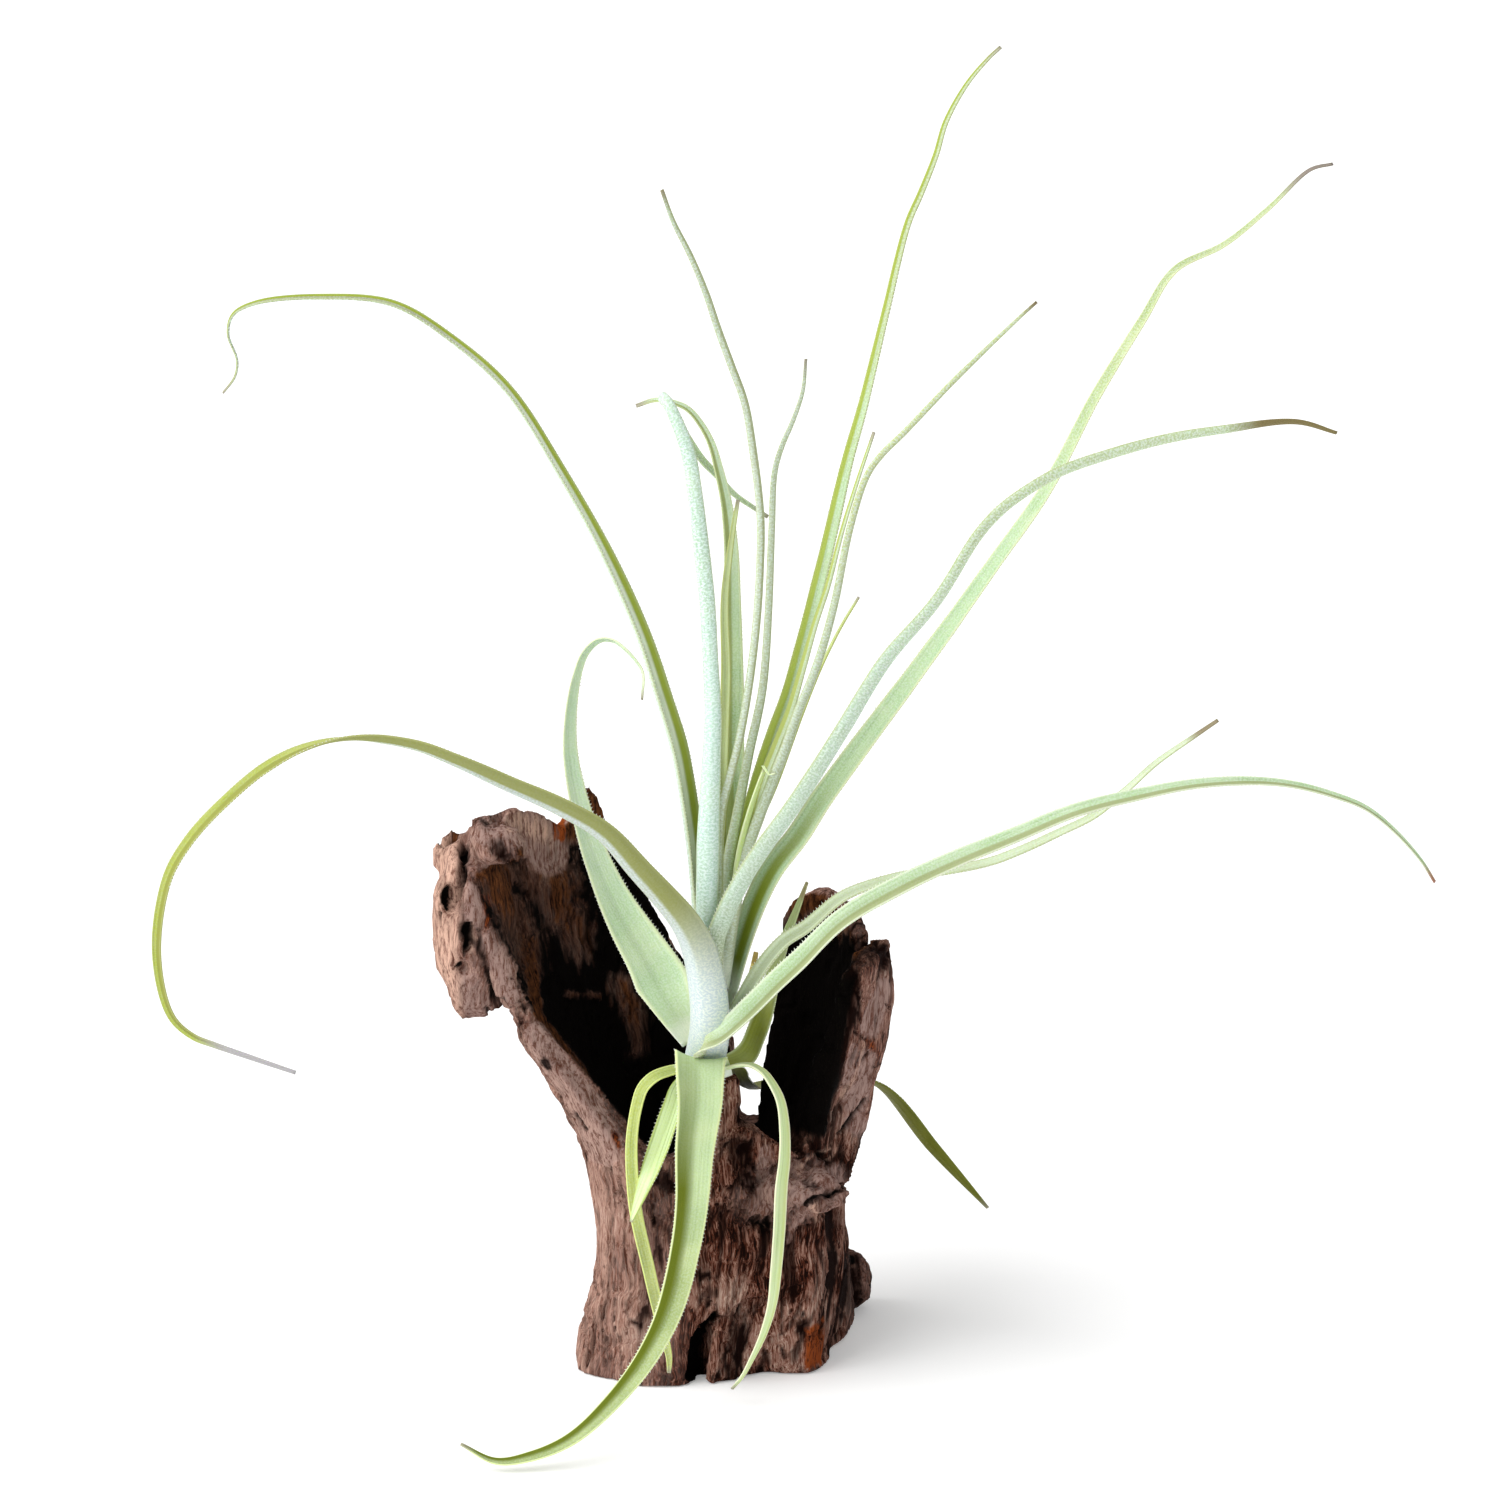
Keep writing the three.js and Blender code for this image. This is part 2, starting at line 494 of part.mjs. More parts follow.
function trunkRadius(angle, height) {
  const turn = angle / (2 * Math.PI);
  const rings = TRUNK.radii.map(([level, ring]) => [level, ringValue(ring, turn)]);
  return valueBetween(rings, height) + grain(angle, height);
}

// The hollow trunk: a lathe whose profile goes from the middle of the foot up the outside, over the rim
// and down the inside to the middle of the floor, with every vertex then set out by angle and height.
function trunkGeometry() {
  const profile = [new THREE.Vector2(0, 0)];
  const ringCount = TRUNK.outerLevels + TRUNK.innerLevels + 2;
  for (let ring = 0; ring < ringCount; ring++) profile.push(new THREE.Vector2(1, ring / ringCount));
  profile.push(new THREE.Vector2(0, 1));
  const lathe = new THREE.LatheGeometry(profile, TRUNK.stations);
  const position = lathe.getAttribute('position');
  for (let i = 0; i < position.count; i++) {
    const row = i % profile.length;
    const station = Math.floor(i / profile.length) % TRUNK.stations;
    const angle = (2 * Math.PI * station) / TRUNK.stations;
    const rim = valueBetween(TRUNK.rim, THREE.MathUtils.radToDeg(angle));
    let radius = 0;
    let height = row === 0 ? 0 : TRUNK.floor;
    if (row > 0 && row <= TRUNK.outerLevels + 1) {
      height = (rim * (row - 1)) / TRUNK.outerLevels;
      radius = trunkRadius(angle, height);
    } else if (row > 0 && row < profile.length - 1) {
      const share = (row - TRUNK.outerLevels - 2) / TRUNK.innerLevels;
      height = THREE.MathUtils.lerp(rim, TRUNK.floor, share);
      radius = trunkRadius(angle, height) - valueBetween(TRUNK.wall, height);
    }
    position.setXYZ(i, radius * Math.cos(angle), radius * Math.sin(angle), height);
  }
  return lathe;
}

// A rounded lump of wood, with its surface waved in and out by the given share of its size.
function lumpGeometry({ middle, reach, lump = 0, detail = 2 }) {
  const geometry = new THREE.IcosahedronGeometry(1, detail);
  const position = geometry.getAttribute('position');
  const place = new THREE.Vector3();
  for (let i = 0; i < position.count; i++) {
    place.fromBufferAttribute(position, i);
    const wave = Math.sin(7 * place.x + 2 * place.z) * Math.cos(5 * place.z + 3 * place.y);
    place.multiplyScalar(1 + lump * wave);
    place.multiply(new THREE.Vector3(...reach)).add(new THREE.Vector3(...middle));
    position.setXYZ(i, place.x, place.y, place.z);
  }
  return geometry;
}

// The splintered post in the front wall that the plant stands on.
function postGeometry() {
  const { foot, height } = POST;
  const geometry = new THREE.CylinderGeometry(POST.topRadius, POST.footRadius, height, POST.sides, 3);
  geometry.rotateX(Math.PI / 2);
  geometry.scale(1, POST.depth, 1);
  geometry.translate(foot[0], foot[1], foot[2] + height / 2);
  return geometry;
}

function driftwoodSolid(stem) {
  let wood = solidOf(trunkGeometry());
  for (const lump of [HEAD, ...BURLS]) wood = wood.add(solidOf(lumpGeometry(lump)));
  wood = wood.add(solidOf(postGeometry()));
  for (const hole of HOLES) wood = wood.subtract(solidOf(lumpGeometry(hole)));
  return largestBody(wood.subtract(stem).trimByPlane([0, 0, 1], 0));
}

const FINISHES = {
  mint: new THREE.MeshStandardMaterial({ color: 0xc3dbb4, roughness: 0.8, metalness: 0 }),
  dry: new THREE.MeshStandardMaterial({ color: 0xb59a5e, roughness: 0.9, metalness: 0 }),
  stem: new THREE.MeshStandardMaterial({ color: 0xcdd9a8, roughness: 0.8, metalness: 0 }),
  wood: new THREE.MeshStandardMaterial({ color: 0x6b4e45, roughness: 0.9, metalness: 0 }),
};

function meshOf(name, solid, material) {
  const mesh = new THREE.Mesh(geometryOf(solid), material);
  mesh.name = name;
  return mesh;
}

const plant = new THREE.Group();
plant.add(meshOf('stem', solidOf(stemGeometry()), FINISHES.stem));

const standing = [solidOf(stemGeometry(CLEARANCE))];
for (const name of OUTER_FIRST) {
  let blade = solidOf(bladeGeometry(LEAVES[name]));
  for (const earlier of standing) blade = blade.subtract(earlier);
  standing.push(solidOf(bladeGeometry(LEAVES[name], CLEARANCE)));
  plant.add(meshOf(name, largestBody(blade), name === 'leaf_dry_stub' ? FINISHES.dry : FINISHES.mint));
}

const driftwood = meshOf('driftwood', driftwoodSolid(standing[0]), FINISHES.wood);

const airPlant = new THREE.Group();
airPlant.add(driftwood, plant);

export default airPlant;
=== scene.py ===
"""The looks of a large air plant that rests on a hollow driftwood stump.

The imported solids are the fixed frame. Each leaf, the stem and the stump is replaced by a finer piece
of the same form: channelled blades with a felt of silvery scales, and wood with its grain, cracks and
rot. The plan of the leaves is in millimetres, everything in Blender is in metres, and +Z is up.
"""

import logging
import math
import random
from dataclasses import dataclass, field, replace
from enum import Enum
from typing import Any, Iterable

import bmesh
import bpy
from mathutils import Matrix, Quaternion, Vector, noise


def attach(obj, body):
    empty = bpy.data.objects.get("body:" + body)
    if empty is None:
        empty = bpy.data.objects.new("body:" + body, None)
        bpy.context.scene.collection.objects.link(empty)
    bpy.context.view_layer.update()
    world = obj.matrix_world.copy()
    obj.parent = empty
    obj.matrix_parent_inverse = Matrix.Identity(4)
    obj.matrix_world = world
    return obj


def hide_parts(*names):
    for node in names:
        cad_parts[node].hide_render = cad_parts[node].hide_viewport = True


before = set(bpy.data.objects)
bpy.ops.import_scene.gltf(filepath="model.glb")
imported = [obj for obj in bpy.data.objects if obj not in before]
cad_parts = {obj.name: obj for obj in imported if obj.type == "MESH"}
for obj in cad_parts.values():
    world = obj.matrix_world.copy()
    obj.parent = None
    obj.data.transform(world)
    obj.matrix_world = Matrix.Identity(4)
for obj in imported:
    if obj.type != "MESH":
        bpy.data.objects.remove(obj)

log = logging.getLogger("air_plant")

MM = 0.001
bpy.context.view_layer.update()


def linear(code: str, alpha: float = 1.0) -> tuple[float, float, float, float]:
    """Turn an sRGB hex colour to linear light.

    Args:
        code: The colour as #rrggbb.
        alpha: The colour's alpha.

    Returns:
        Red, green, blue and alpha, linear.
    """
    parts = [int(code[i:i + 2], 16) / 255 for i in (1, 3, 5)]
    light = [p / 12.92 if p <= 0.04045 else ((p + 0.055) / 1.055) ** 2.4 for p in parts]
    return (light[0], light[1], light[2], alpha)


def add(tree: bpy.types.NodeTree, kind: str, inputs: dict[Any, Any] | None = None,
        **settings: Any) -> bpy.types.Node:
    """Add a shader node with its settings and links.

    Args:
        tree: The material's node tree.
        kind: The node's type without its ShaderNode prefix.
        inputs: Input name or number to a value, or to the output socket that drives it.
        settings: The node's own properties.

    Returns:
        The new node.
    """
    node = tree.nodes.new("ShaderNode" + kind)
    for name, value in settings.items():
        setattr(node, name, value)
    for name, value in (inputs or {}).items():
        if isinstance(value, bpy.types.NodeSocket):
            tree.links.new(value, node.inputs[name])
        else:
            node.inputs[name].default_value = value
    return node


def blank(name: str) -> tuple[bpy.types.Material, bpy.types.NodeTree]:
    """Make a material, and give it with its node tree, emptied."""
    material = bpy.data.materials.new(name)
    material.use_nodes = True
    material.node_tree.nodes.clear()
    return material, material.node_tree


def attributes(tree: bpy.types.NodeTree, names: Iterable[str]) -> list[bpy.types.NodeSocket]:
    """Give the sockets of the mesh's attributes of these names."""
    return [add(tree, "Attribute", attribute_name=name).outputs["Fac"] for name in names]


def reckon(tree: bpy.types.NodeTree, way: str, *values: Any) -> bpy.types.NodeSocket:
    """Do a sum on values, each a number or a socket, and give the result's socket."""
    return add(tree, "Math", dict(enumerate(values)), operation=way).outputs[0]


def stretch(tree: bpy.types.NodeTree, place: bpy.types.NodeSocket,
            scale: tuple[float, float, float]) -> bpy.types.NodeSocket:
    """Scale the places that a texture is read at, a different amount each way."""
    return add(tree, "Mapping", {"Vector": place, "Scale": scale}).outputs[0]


def cloud(tree: bpy.types.NodeTree, place: bpy.types.NodeSocket, scale: float, detail: float = 2.0,
          roughness: float = 0.5) -> bpy.types.NodeSocket:
    """Give a noise texture's value, which is about 0.5 on average."""
    return add(tree, "TexNoise", {"Vector": place, "Scale": scale, "Detail": detail,
                                  "Roughness": roughness}).outputs["Fac"]


def ramp(tree: bpy.types.NodeTree, value: bpy.types.NodeSocket, low: float, high: float, top: float = 1.0,
         bottom: float = 0.0, straight: bool = False) -> bpy.types.NodeSocket:
    """Turn a value to one that rises between two limits and is level outside them.

    Args:
        tree: The material's node tree.
        value: The socket of the value.
        low: The value that gives bottom; it may be above high.
        high: The value that gives top.
        top: The result at high.
        bottom: The result at low.
        straight: Whether the rise is even, and not eased at both ends.

    Returns:
        The result's socket.
    """
    limits = {"Value": value, "From Min": low, "From Max": high, "To Min": bottom, "To Max": top}
    return add(tree, "MapRange", limits, interpolation_type="LINEAR" if straight else "SMOOTHSTEP").outputs[0]


def blend(tree: bpy.types.NodeTree, share: Any, below: Any, above: Any,
          way: str = "MIX") -> bpy.types.NodeSocket:
    """Lay one colour on another.

    Args:
        tree: The material's node tree.
        share: How much of the upper colour shows, a socket.
        below: The lower colour, as #rrggbb or a socket.
        above: The upper colour, likewise.
        way: How the two are blended.

    Returns:
        The socket of the colour that shows.
    """
    lower, upper = (linear(colour) if isinstance(colour, str) else colour for colour in (below, above))
    return add(tree, "Mix", {0: share, 6: lower, 7: upper}, data_type="RGBA", blend_type=way).outputs[2]


def clad(tree: bpy.types.NodeTree, colour: bpy.types.NodeSocket, height: bpy.types.NodeSocket,
         strength: float, depth: float, **looks: Any) -> None:
    """Finish a material with a bumped surface of this colour.

    Args:
        tree: The material's node tree.
        colour: The surface's colour.
        height: What bumps it.
        strength: How strongly it does.
        depth: How high the bumps are, in metres.
        looks: The surface's other inputs, with _ for a space in their names.
    """
    bump = add(tree, "Bump", {"Strength": strength, "Distance": depth, "Height": height}).outputs[0]
    inputs = {name.replace("_", " "): value for name, value in looks.items()}
    surface = add(tree, "BsdfPrincipled", {"Base Color": colour, "Normal": bump, **inputs})
    add(tree, "OutputMaterial", {"Surface": surface.outputs[0]})


def smoothstep(low: float, high: float, value: float) -> float:
    """Ease from 0 at low to 1 at high.

    Args:
        low: The value that gives 0; it may be above high.
        high: The value that gives 1.
        value: The value to ease.

    Returns:
        A number from 0 to 1.
    """
    share = min(1.0, max(0.0, (value - low) / (high - low)))
    return share * share * (3 - 2 * share)


def value_at(values: Iterable[float], fraction: float) -> float:
    """Read an evenly spaced list at a fraction of its length.

    Args:
        values: The list.
        fraction: The place, from 0 to 1.

    Returns:
        The value there, straight between its neighbours.
    """
    listed = tuple(values)
    place = min(1.0, max(0.0, fraction)) * (len(listed) - 1)
    index = min(int(place), max(len(listed) - 2, 0))
    after = min(index + 1, len(listed) - 1)
    return listed[index] + (listed[after] - listed[index]) * (place - index)


def upright_on(direction: Vector) -> Matrix:
    """Give the turn that lays +Z along a direction."""
    return Vector((0, 0, 1)).rotation_difference(direction).to_matrix().to_4x4()


def vertex_layers(bm: bmesh.types.BMesh, names: Iterable[str]) -> list[bmesh.types.BMLayerItem]:
    """Give a mesh's layers of these names, which hold a number for each vertex, and make those it lacks."""
    floats = bm.verts.layers.float
    return [floats.get(name) or floats.new(name) for name in names]


def store(vert: bmesh.types.BMVert, layers: Iterable[bmesh.types.BMLayerItem],
          values: Iterable[float]) -> None:
    """Keep a vertex's numbers in its mesh's layers."""
    for layer, value in zip(layers, values):
        vert[layer] = value


def new_object(name: str, bm: bmesh.types.BMesh, *materials: bpy.types.Material) -> bpy.types.Object:
    """Make a smooth-shaded mesh object at the origin from a bmesh, and free the bmesh.

    Args:
        name: The object's name.
        bm: The mesh.
        materials: The object's material slots.

    Returns:
        The object.
    """
    mesh = bpy.data.meshes.new(name)
    for face in bm.faces:
        face.smooth = True
    bm.to_mesh(mesh)
    bm.free()
    for material in materials:
        mesh.materials.append(material)
    made = bpy.data.objects.new(name, mesh)
    bpy.context.scene.collection.objects.link(made)
    return made


def stand_for(piece: bpy.types.Object, node: str) -> None:
    """Let a finished piece replace its CAD node and ride on the body.

    Args:
        piece: The finished piece.
        node: The CAD node that it stands for.
    """
    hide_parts(node)
    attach(piece, "root")
    log.info("%s: %d faces", piece.name, len(piece.data.polygons))


# The attributes that tell where a vertex is on a blade: from -1 to 1 between the margins, from 0 to 1
# between the base and the tip, and 0 on the under side or 1 on the upper face
PLACE = ("across", "along", "upper")


@dataclass(frozen=True)
class LeafFinish:
    """A living leaf of the air plant: a waxy green blade under a felt of silvery scales.

    The scales (trichomes) are flat, dead and grey-white, about 0.4 mm across. They lie close on the
    under side, which looks frosted, and thinly on the upper side, which shows the green and its fine
    parallel veins. The margins are thin and let the light through, so they look yellower.
    """

    name: str
    upper: str = "#a9c690"  # the blade's upper face
    under: str = "#a6be92"  # its under side, between the scales
    margin: str = "#dce6b6"
    margin_strength: float = 0.7
    margin_from: float = 0.74  # where the margin's colour starts, between the midrib and the margin
    fringe: str = "#f1f6e6"  # the scales that stand out along the margins
    heart: str = "#5d6a12"  # painted shade in the channel's bottom, deepest near the base
    channel_shade_strength: float = 0.3
    channel_shade_reach: float = 0.5  # share of the length that the painted shade fades out over
    half: str = "#8c9338"  # painted shade on the half of a folded blade that is turned from the light
    half_strength: float = 0.0
    half_side: float = 1.0  # 1 or -1, the margin that this half ends at
    half_at: float = 0.06  # how far from the midrib it starts, where the margin is at 1
    half_soft: float = 0.14  # and half of how far it takes to fade in
    half_from: float = 0.0  # share of the length that it grows in over
    far: str = "#8f8f5c"  # the blade's far part, which is older and drier
    far_strength: float = 0.0
    far_from: float = 0.5
    veins: float = 0.4  # how plainly they show
    vein: str = "#a3b47e"  # the tint between them
    tip: str = "#a19a88"  # dried out
    tip_from: float = 0.965
    silver: str = "#dbe8df"  # the scales
    scales: float = 0.75  # how closely they cover the under side
    bloom: float = 0.38  # and the upper face
    base: str = "#dfe9d9"  # the sheath, which never sees the light
    base_reach: float = 0.06

    def build(self) -> bpy.types.Material:
        """Make the material.

        Returns:
            The leaf's material.
        """
        material, tree = blank(self.name)
        across, along, upper = attributes(tree, PLACE)
        edge = reckon(tree, "ABSOLUTE", across)
        # The blade's own map is in millimetres: veins 0.8 mm apart that run for 60 mm. The scales are
        # 0.4 mm across and drawn at 0.7 mm, so that they show
        blade = add(tree, "UVMap", uv_map="blade").outputs["UV"]
        veins = cloud(tree, stretch(tree, blade, (1.25, 0.016, 1.0)), 1.0, 3.0, 0.6)
        felt = cloud(tree, blade, 1.45, 2.0, 0.6)
        patches = cloud(tree, blade, 0.07)
        # The channel's painted shade: along the midrib of the upper face, near the base
        middle = ramp(tree, edge, 0.66, 0.2, self.channel_shade_strength)
        low = ramp(tree, along, self.channel_shade_reach, self.channel_shade_reach * 0.4)
        channel = reckon(tree, "MULTIPLY", reckon(tree, "MULTIPLY", middle, low), upper)
        cover = ramp(tree, upper, 0.0, 1.0, self.bloom, self.scales, straight=True)
        frost = reckon(tree, "MULTIPLY", cover, ramp(tree, felt, 0.44, 0.58, 1.0, 0.2))
        sheath = ramp(tree, along, self.base_reach, self.base_reach * 0.4)
        # The tip's dry part ends unevenly
        uneven = ramp(tree, patches, 0.0, 1.0, 0.012, -0.012, straight=True)
        dried = ramp(tree, reckon(tree, "ADD", along, uneven), self.tip_from, self.tip_from + 0.04)
        # Each coat lies on those before it
        colour = blend(tree, upper, self.under, self.upper)
        colour = blend(tree, ramp(tree, along, self.far_from, self.far_from + 0.25, self.far_strength),
                       colour, self.far)
        between = ramp(tree, veins, 0.5, 0.66, self.veins, straight=True)
        colour = blend(tree, between, colour, self.vein, "MULTIPLY")
        coats = (
            (ramp(tree, patches, 0.42, 0.7, 0.3, straight=True), self.margin),
            (frost, self.silver),
            # Painted shade: on the half of a folded blade turned from the light, and in the channel
            (self.folded(tree, across, along), self.half),
            (channel, self.heart),
            (ramp(tree, edge, self.margin_from, 0.97, self.margin_strength), self.margin),
            (ramp(tree, edge, 1.05, 1.2, straight=True), self.fringe),
            (sheath, blend(tree, frost, self.base, self.fringe)),
            (dried, self.tip),
        )
        for share, coat in coats:
            colour = blend(tree, share, colour, coat)
        relief = reckon(tree, "MULTIPLY_ADD", veins, felt, 0.4)
        clad(tree, colour, relief, 0.5, 0.5 * MM, Roughness=0.62, IOR=1.45, Specular_IOR_Level=0.3,
             Subsurface_Weight=0.12, Subsurface_Radius=(0.6, 1.0, 0.3), Subsurface_Scale=1.0 * MM,
             Sheen_Weight=0.15, Sheen_Roughness=0.4)
        return material

    def folded(self, tree: bpy.types.NodeTree, across: bpy.types.NodeSocket,
               along: bpy.types.NodeSocket) -> bpy.types.NodeSocket:
        """Give how much a place is on the half of the blade that is painted with shade.

        Args:
            tree: The material's node tree.
            across: The place between the margins.
            along: The place between the base and the tip.

        Returns:
            The share's socket.
        """
        share = ramp(tree, across, (self.half_at - self.half_soft) * self.half_side,
                     (self.half_at + self.half_soft) * self.half_side, self.half_strength)
        if self.half_from:
            share = reckon(tree, "MULTIPLY", share, ramp(tree, along, 0.0, self.half_from, straight=True))
        return share


class Look(Enum):
    """The kinds of leaf skin on the plant."""

    MINT = LeafFinish("leaf_skin_mint")
    PALE = LeafFinish("leaf_skin_pale", upper="#bccda3", under="#c0cba8", margin="#a8ad70",
                      margin_strength=0.5)
    SILVER = LeafFinish("leaf_skin_silver", upper="#9cb068", under="#a9c6ae", margin="#b3be8a", scales=0.85,
                        silver="#dff0ea")
    OLIVE = LeafFinish("leaf_skin_olive", upper="#8b9650", under="#949d60", margin="#abb15c",
                       scales=0.3, bloom=0.12)
    # Painted shade: darker colours for the leaves at the back, in the shade of the others
    SHADED = LeafFinish("leaf_skin_shaded", upper="#63660f", under="#6a6e18", margin="#8b9140",
                        heart="#4a4e06", scales=0.08, bloom=0.03, base="#9aa06a")
    HANGING = LeafFinish("leaf_skin_hanging", upper="#adc67e", under="#a5bd72", margin="#b9c964",
                         heart="#8b9a3e", channel_shade_reach=0.9, scales=0.3, bloom=0.2, veins=0.8)
    YOUNG = LeafFinish("leaf_skin_young", upper="#e0f4b4", under="#d6eda2", margin="#ecf8cc",
                       scales=0.3, bloom=0.2)
    DRY = LeafFinish("leaf_skin_dry", upper="#c9b35a", under="#cdb868", margin="#d8c98c", heart="#8f7a28",
                     scales=0.15, bloom=0.1, base="#c9b878", tip="#a08a48", tip_from=0.85)


# The attributes that tell how a place on the wood has weathered, and where light and shade are painted on it
SHADES = ("groove_and_shade", "rot_and_shade", "torn", "worn", "sunned_and_lit", "inner")


@dataclass(frozen=True)
class WoodFinish:
    """Driftwood: a hardwood root that water and sun have stripped, greyed and split along its grain.

    The ridges are paled to a mauve grey by sun and water, and what faces the light is painted paler still.
    The grooves keep the dark red-brown of the heart, and are painted darker for their shade, as are the
    shadow lines under broken layers and the side away from the light. Fresh breaks show orange, the hollow's
    wall is olive brown where light reaches it, and its depth is painted almost black, for its rot and the
    shade in it. Nothing is polished, so it is matt.
    """

    name: str = "driftwood_weathered"
    # the grooves' dark red-brown, painted darker for the shade in them, in the shadow lines and on the side
    # away from the light
    groove_and_shade: str = "#150502"
    body: str = "#582c1d"
    ridge: str = "#966e5f"
    dust: str = "#c6a696"  # the driest fibres
    # painted light where the wood faces the light, and the ridges paled by the sun
    bleach_and_light: str = "#d9b09b"  # where the sun has reached
    worn: str = "#a98c83"  # where water has rubbed the fibres smooth
    worn_low: str = "#643f33"
    inner: str = "#754628"  # the hollow's wall
    inner_low: str = "#1a0602"
    torn: str = "#91461e"
    torn_low: str = "#34120a"
    # painted shade: the hollow's depth, the holes and the right wall's inner side, with the dark of rot
    rot: str = "#050201"

    def build(self) -> bpy.types.Material:
        """Make the material.

        Returns:
            The wood's material.
        """
        material, tree = blank(self.name)
        groove_and_shade, rot_and_shade, torn, worn, sunned_and_lit, inner = attributes(tree, SHADES)
        spot = add(tree, "TexCoord").outputs["Object"]
        # Fibres 0.8 mm wide and about 16 mm long run up the stump, hairs 0.4 mm wide lie among them
        # and stains are some 20 mm wide
        warp = add(tree, "TexNoise", {"Vector": spot, "Scale": 70.0, "Detail": 2.0}).outputs["Color"]
        bent = add(tree, "VectorMath", {0: warp, 1: (6 * MM, 6 * MM, 6 * MM), 2: spot},
                   operation="MULTIPLY_ADD").outputs[0]
        fibrous = stretch(tree, bent, (1.0, 1.0, 0.05))
        fibres = cloud(tree, fibrous, 1250.0, 5.0, 0.72)
        hairs = cloud(tree, fibrous, 2600.0, 3.0, 0.7)
        stains = cloud(tree, spot, 48.0, 4.0)
        # shade's middle is at 1: half of one, and the same share of each of the other two
        shade = reckon(tree, "MULTIPLY_ADD", stains, 0.65, reckon(tree, "MULTIPLY_ADD", hairs, 0.35, fibres))
        rubbed = cloud(tree, stretch(tree, bent, (1.0, 1.0, 0.14)), 760.0, 5.0, 0.78)
        polish = ramp(tree, rubbed, 0.37, 0.58)
        # Each coat lies on those before it
        coats = (
            (ramp(tree, shade, 0.87, 0.95), self.body),
            (ramp(tree, shade, 0.96, 1.05), self.ridge),
            (ramp(tree, shade, 1.08, 1.2), self.dust),
            (worn, blend(tree, polish, self.worn_low, self.worn)),
            # painted light on what faces the light
            (reckon(tree, "MULTIPLY", sunned_and_lit, polish), self.bleach_and_light),
            # painted shade in the grooves and on the side away from the light
            (groove_and_shade, self.groove_and_shade),
            (torn, blend(tree, ramp(tree, shade, 0.93, 1.05, straight=True), self.torn_low, self.torn)),
            (inner, blend(tree, ramp(tree, rubbed, 0.4, 0.66, straight=True), self.inner_low, self.inner)),
            # painted shade and rot, near black
            (rot_and_shade, self.rot),
        )
        colour = self.groove_and_shade
        for share, coat in coats:
            colour = blend(tree, share, colour, coat)
        height = add(tree, "Mix", {0: worn, 2: shade, 3: rubbed}, data_type="FLOAT").outputs[0]
        clad(tree, colour, height, 0.85, 1.2 * MM, Roughness=0.88, IOR=1.5, Specular_IOR_Level=0.06)
        return material


@dataclass(frozen=True)
class StemFinish:
    """The stem's fleshy core, ringed by the pale sheaths of old leaves, with a dry, papery skin."""

    name: str = "stem_flesh"
    flesh: str = "#cbd39a"
    skin: str = "#b3ab74"

    def build(self) -> bpy.types.Material:
        """Make the material.

        Returns:
            The stem's material.
        """
        material, tree = blank(self.name)
        spot = add(tree, "TexCoord").outputs["Object"]
        # Papery remains in bands about 4 mm high
        bands = cloud(tree, stretch(tree, spot, (0.35, 0.35, 1.0)), 240.0, 3.0)
        colour = blend(tree, ramp(tree, bands, 0.45, 0.62, straight=True), self.flesh, self.skin)
        clad(tree, colour, bands, 0.4, 0.5 * MM, Roughness=0.7)
        return material


@dataclass(frozen=True)
class View:
    """The front view that the leaf routes are laid out on, which is also the camera's.

    Across and rise are measured in millimetres at the scale of the view's middle, from the stump's
    foot, and back is the real distance away from the viewer.
    """

    distance: float = 2000.0
    tilt: float = math.radians(18)
    middle: Vector = field(default_factory=lambda: Vector((14.1, 0, 213.2)))
    across: float = 13.7
    rise: float = 196.3
    lens: float = 142.86  # mm, on a sensor 36 mm wide

    def point(self, place: tuple[float, float, float]) -> Vector:
        """Turn a place on the view to a point in space.

        Args:
            place: Across, rise and back.

        Returns:
            The point, in millimetres.
        """
        across, rise, back = place
        up = rise - self.rise
        spread = (self.distance + back / math.cos(self.tilt)) / (self.distance + up * math.tan(self.tilt))
        height = (up * spread - back * math.sin(self.tilt)) / math.cos(self.tilt)
        return self.middle + Vector(((across - self.across) * spread, back, height))

    def seen(self, point: Vector) -> tuple[float, float]:
        """Give where on the view a point in space is.

        Args:
            point: The point, in millimetres.

        Returns:
            Across and rise.
        """
        off = point - self.middle
        shrink = self.distance / (self.distance + off.y * math.cos(self.tilt) - off.z * math.sin(self.tilt))
        up = off.y * math.sin(self.tilt) + off.z * math.cos(self.tilt)
        return self.across + off.x * shrink, self.rise + up * shrink

    def camera(self) -> None:
        """Make the camera, looking at the view's middle, and set it as the scene's."""
        data = bpy.data.cameras.new("camera")
        data.lens = self.lens
        data.sensor_width = 36
        made = bpy.data.objects.new("camera", data)
        away = Vector((0, -math.cos(self.tilt), math.sin(self.tilt)))
        made.location = (self.middle + away * self.distance) * MM
        made.rotation_euler = (-away).to_track_quat("-Z", "Y").to_euler()
        bpy.context.scene.collection.objects.link(made)
        bpy.context.scene.camera = made


VIEW = View()


